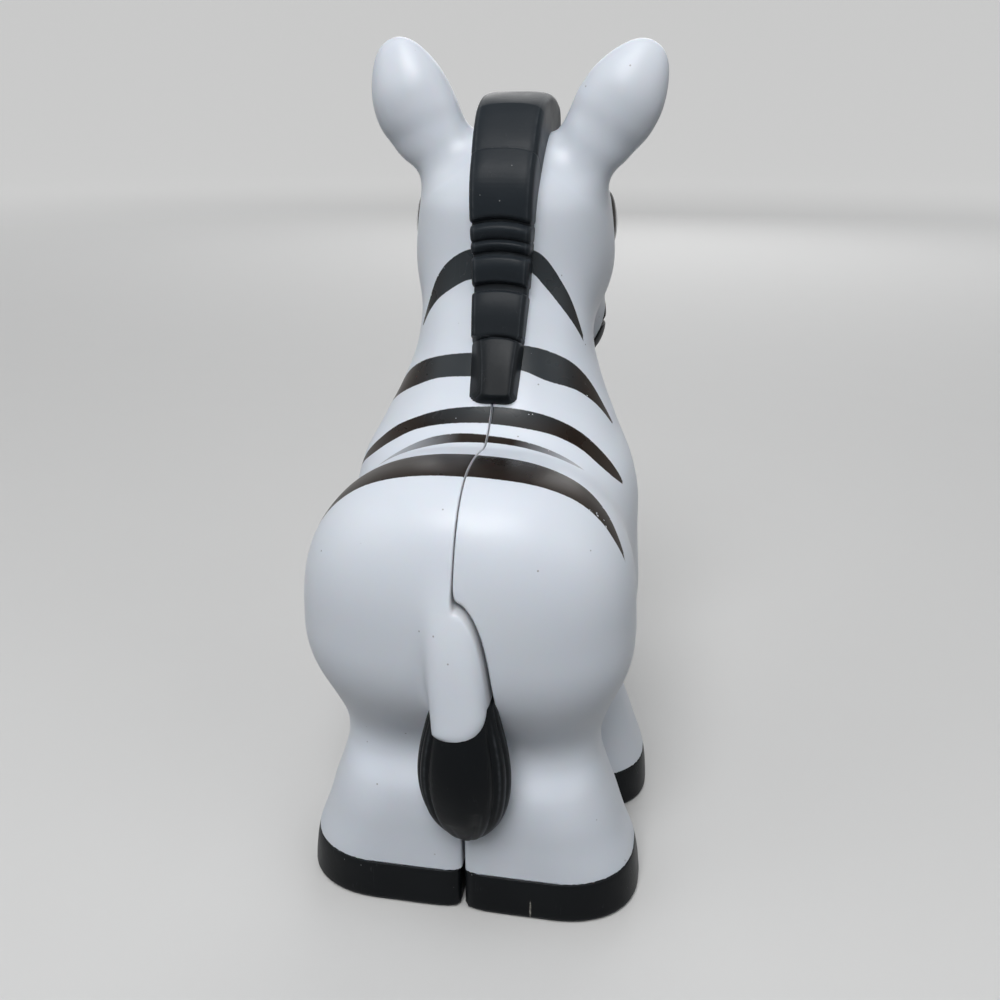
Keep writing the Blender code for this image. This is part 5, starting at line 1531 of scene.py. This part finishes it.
def add_camera():
    """A camera behind the toy, a little to its right and above, with a 53 degree view."""
    camera = bpy.data.cameras.new("camera")
    camera.sensor_width = 36.0
    camera.lens = 36.0
    camera.clip_start = 0.005
    camera.clip_end = 20.0
    made = bpy.data.objects.new("camera", camera)
    made.location = CAMERA_PLACE
    level = math.cos(CAMERA_PITCH)
    ahead = (math.sin(CAMERA_TURN) * level, -math.cos(CAMERA_TURN) * level, -math.sin(CAMERA_PITCH))
    made.rotation_euler = Vector(ahead).to_track_quat("-Z", "Y").to_euler()
    bpy.context.scene.collection.objects.link(made)
    bpy.context.scene.camera = made


# Operators


class ZEBRA_OT_body(bpy.types.Operator):
    """Makes the two halves of the white body with their printed bands"""

    bl_idname = "zebra.body"
    bl_label = "Body halves"

    def execute(self, context):
        body = context.scene.zebra_body
        material = white_plastic(context.scene.zebra_finish, body)
        cell = body.cell * 1.0
        axes = body_axes(cell)
        for word, side in SIDES:
            name = f"{word}_body_shell"
            field, marks = half_field(side, body), body_marks(side, body)
            made = new_form(f"{name}_moulding", field, axes, 7.5 * cell, 0.25 * MM, marks)
            place_piece(made, name, material)
        return {"FINISHED"}


class ZEBRA_OT_mane(bpy.types.Operator):
    """Makes the black mane with its stepped locks"""

    bl_idname = "zebra.mane"
    bl_label = "Mane"

    def execute(self, context):
        material = black_plastic(context.scene.zebra_finish, "mane plastic", 0.85, 0.15, 0.5, 1.0, 1.0)
        black_tube("mane", *mane_rings(context.scene.zebra_mane), material)
        return {"FINISHED"}


class ZEBRA_OT_tuft(bpy.types.Operator):
    """Makes the grooved black tuft of the tail"""

    bl_idname = "zebra.tuft"
    bl_label = "Tail tuft"

    def execute(self, context):
        material = shared_black(context.scene.zebra_finish)
        black_tube("tail_tuft", *tuft_rings(context.scene.zebra_tuft), material)
        return {"FINISHED"}


class ZEBRA_OT_muzzle(bpy.types.Operator):
    """Makes the black front of the muzzle with nostrils and mouth"""

    bl_idname = "zebra.muzzle"
    bl_label = "Muzzle cap"

    def execute(self, context):
        cell = CAP_CELL * 1.0
        low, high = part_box("muzzle_cap")
        side = MUZZLE_WIDTH / 2 + 2 * GRID_MARGIN
        axes = (
            rounded(cell, -side, side),
            rounded(cell, MIDDLE_FORWARD - high.y - MM, NOSE_FORWARD + GRID_MARGIN),
            rounded(cell, low.z - GRID_MARGIN, high.z + GRID_MARGIN),
        )
        made = new_form(
            "muzzle_cap_moulding", cap_field(CAP_EDGE), axes, 8 * cell, 0.2 * MM,
            lambda points: {"edge": np.zeros(len(points))},
        )
        place_piece(made, "muzzle_cap", shared_black(context.scene.zebra_finish))
        return {"FINISHED"}


class ZEBRA_OT_hooves(bpy.types.Operator):
    """Makes the four black hooves"""

    bl_idname = "zebra.hooves"
    bl_label = "Hooves"

    def execute(self, context):
        material = black_plastic(context.scene.zebra_finish, "hoof plastic", 0.55, 0.12, 0.7, 0.8)
        for place, leg in (("front", FRONT_LEG), ("rear", REAR_LEG)):
            for word, side in SIDES:
                rings, edge = hoof_rings(*leg, side, context.scene.zebra_hoof)
                black_tube(f"{place}_{word}_hoof", rings, edge, material, outward=side > 0)
        return {"FINISHED"}


class ZEBRA_OT_eyes(bpy.types.Operator):
    """Makes the two oval eyes"""

    bl_idname = "zebra.eyes"
    bl_label = "Eyes"

    def execute(self, context):
        material = eye_enamel(context.scene.zebra_finish, context.scene.zebra_eye)
        for word, side in SIDES:
            rings, across, up = eye_rings(side)
            made = new_tube(f"{word}_eye_bead", rings, {"eye_across": across, "eye_up": up})
            place_piece(made, f"{word}_eye", material)
        return {"FINISHED"}


class ZEBRA_OT_stage(bpy.types.Operator):
    """Makes the floor, the lamps, the even light and the camera"""

    bl_idname = "zebra.stage"
    bl_label = "Stage"

    def execute(self, context):
        stage = context.scene.zebra_stage
        stage_floor(stage)
        add_lamp("top lamp", stage.top_power, 0.5, (0.0, 0.10, 0.80))
        add_lamp("rear lamp", stage.rear_power, 0.35, (0.02, 0.43, 0.59))
        add_lamp("front lamp", stage.front_power, 0.5, (0.0, -0.55, 0.35))
        for word, side in SIDES:
            add_lamp(f"{word} lamp", stage.side_power, 0.5, (side * 0.55, 0.30, 0.42))
        sky = bpy.data.worlds.new("even sky")
        sky.use_nodes = True
        ground = sky.node_tree.nodes["Background"]
        ground.inputs["Color"].default_value = (0.93, 0.96, 1.0, 1.0)
        ground.inputs["Strength"].default_value = stage.sky_strength
        context.scene.world = sky
        add_camera()
        context.scene.view_settings.view_transform = "Standard"
        return {"FINISHED"}


class ZEBRA_PT_sidebar(bpy.types.Panel):
    bl_idname = "ZEBRA_PT_sidebar"
    bl_label = "Toy zebra"
    bl_space_type = "VIEW_3D"
    bl_region_type = "UI"
    bl_category = "Toy zebra"

    def draw(self, context):
        for key in SETTINGS:
            settings = getattr(context.scene, key)
            box = self.layout.box()
            for name in settings.__annotations__:
                box.prop(settings, name)
        for operator in OPERATORS:
            self.layout.operator(operator.bl_idname)


SETTINGS = {
    "zebra_finish": ZebraFinishSettings,
    "zebra_body": ZebraBodySettings,
    "zebra_mane": ZebraManeSettings,
    "zebra_tuft": ZebraTuftSettings,
    "zebra_hoof": ZebraHoofSettings,
    "zebra_eye": ZebraEyeSettings,
    "zebra_stage": ZebraStageSettings,
}
OPERATORS = (
    ZEBRA_OT_body,
    ZEBRA_OT_mane,
    ZEBRA_OT_tuft,
    ZEBRA_OT_muzzle,
    ZEBRA_OT_hooves,
    ZEBRA_OT_eyes,
    ZEBRA_OT_stage,
)
CLASSES = (*SETTINGS.values(), *OPERATORS, ZEBRA_PT_sidebar)


def register():
    for made in CLASSES:
        bpy.utils.register_class(made)
    for key, settings in SETTINGS.items():
        setattr(bpy.types.Scene, key, PointerProperty(type=settings))


def unregister():
    for key in SETTINGS:
        delattr(bpy.types.Scene, key)
    for made in reversed(CLASSES):
        bpy.utils.unregister_class(made)


def main():
    """Registers the classes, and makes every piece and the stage."""
    register()
    bpy.ops.zebra.body()
    bpy.ops.zebra.mane()
    bpy.ops.zebra.tuft()
    bpy.ops.zebra.muzzle()
    bpy.ops.zebra.hooves()
    bpy.ops.zebra.eyes()
    bpy.ops.zebra.stage()


if __name__ == "__main__":
    main()
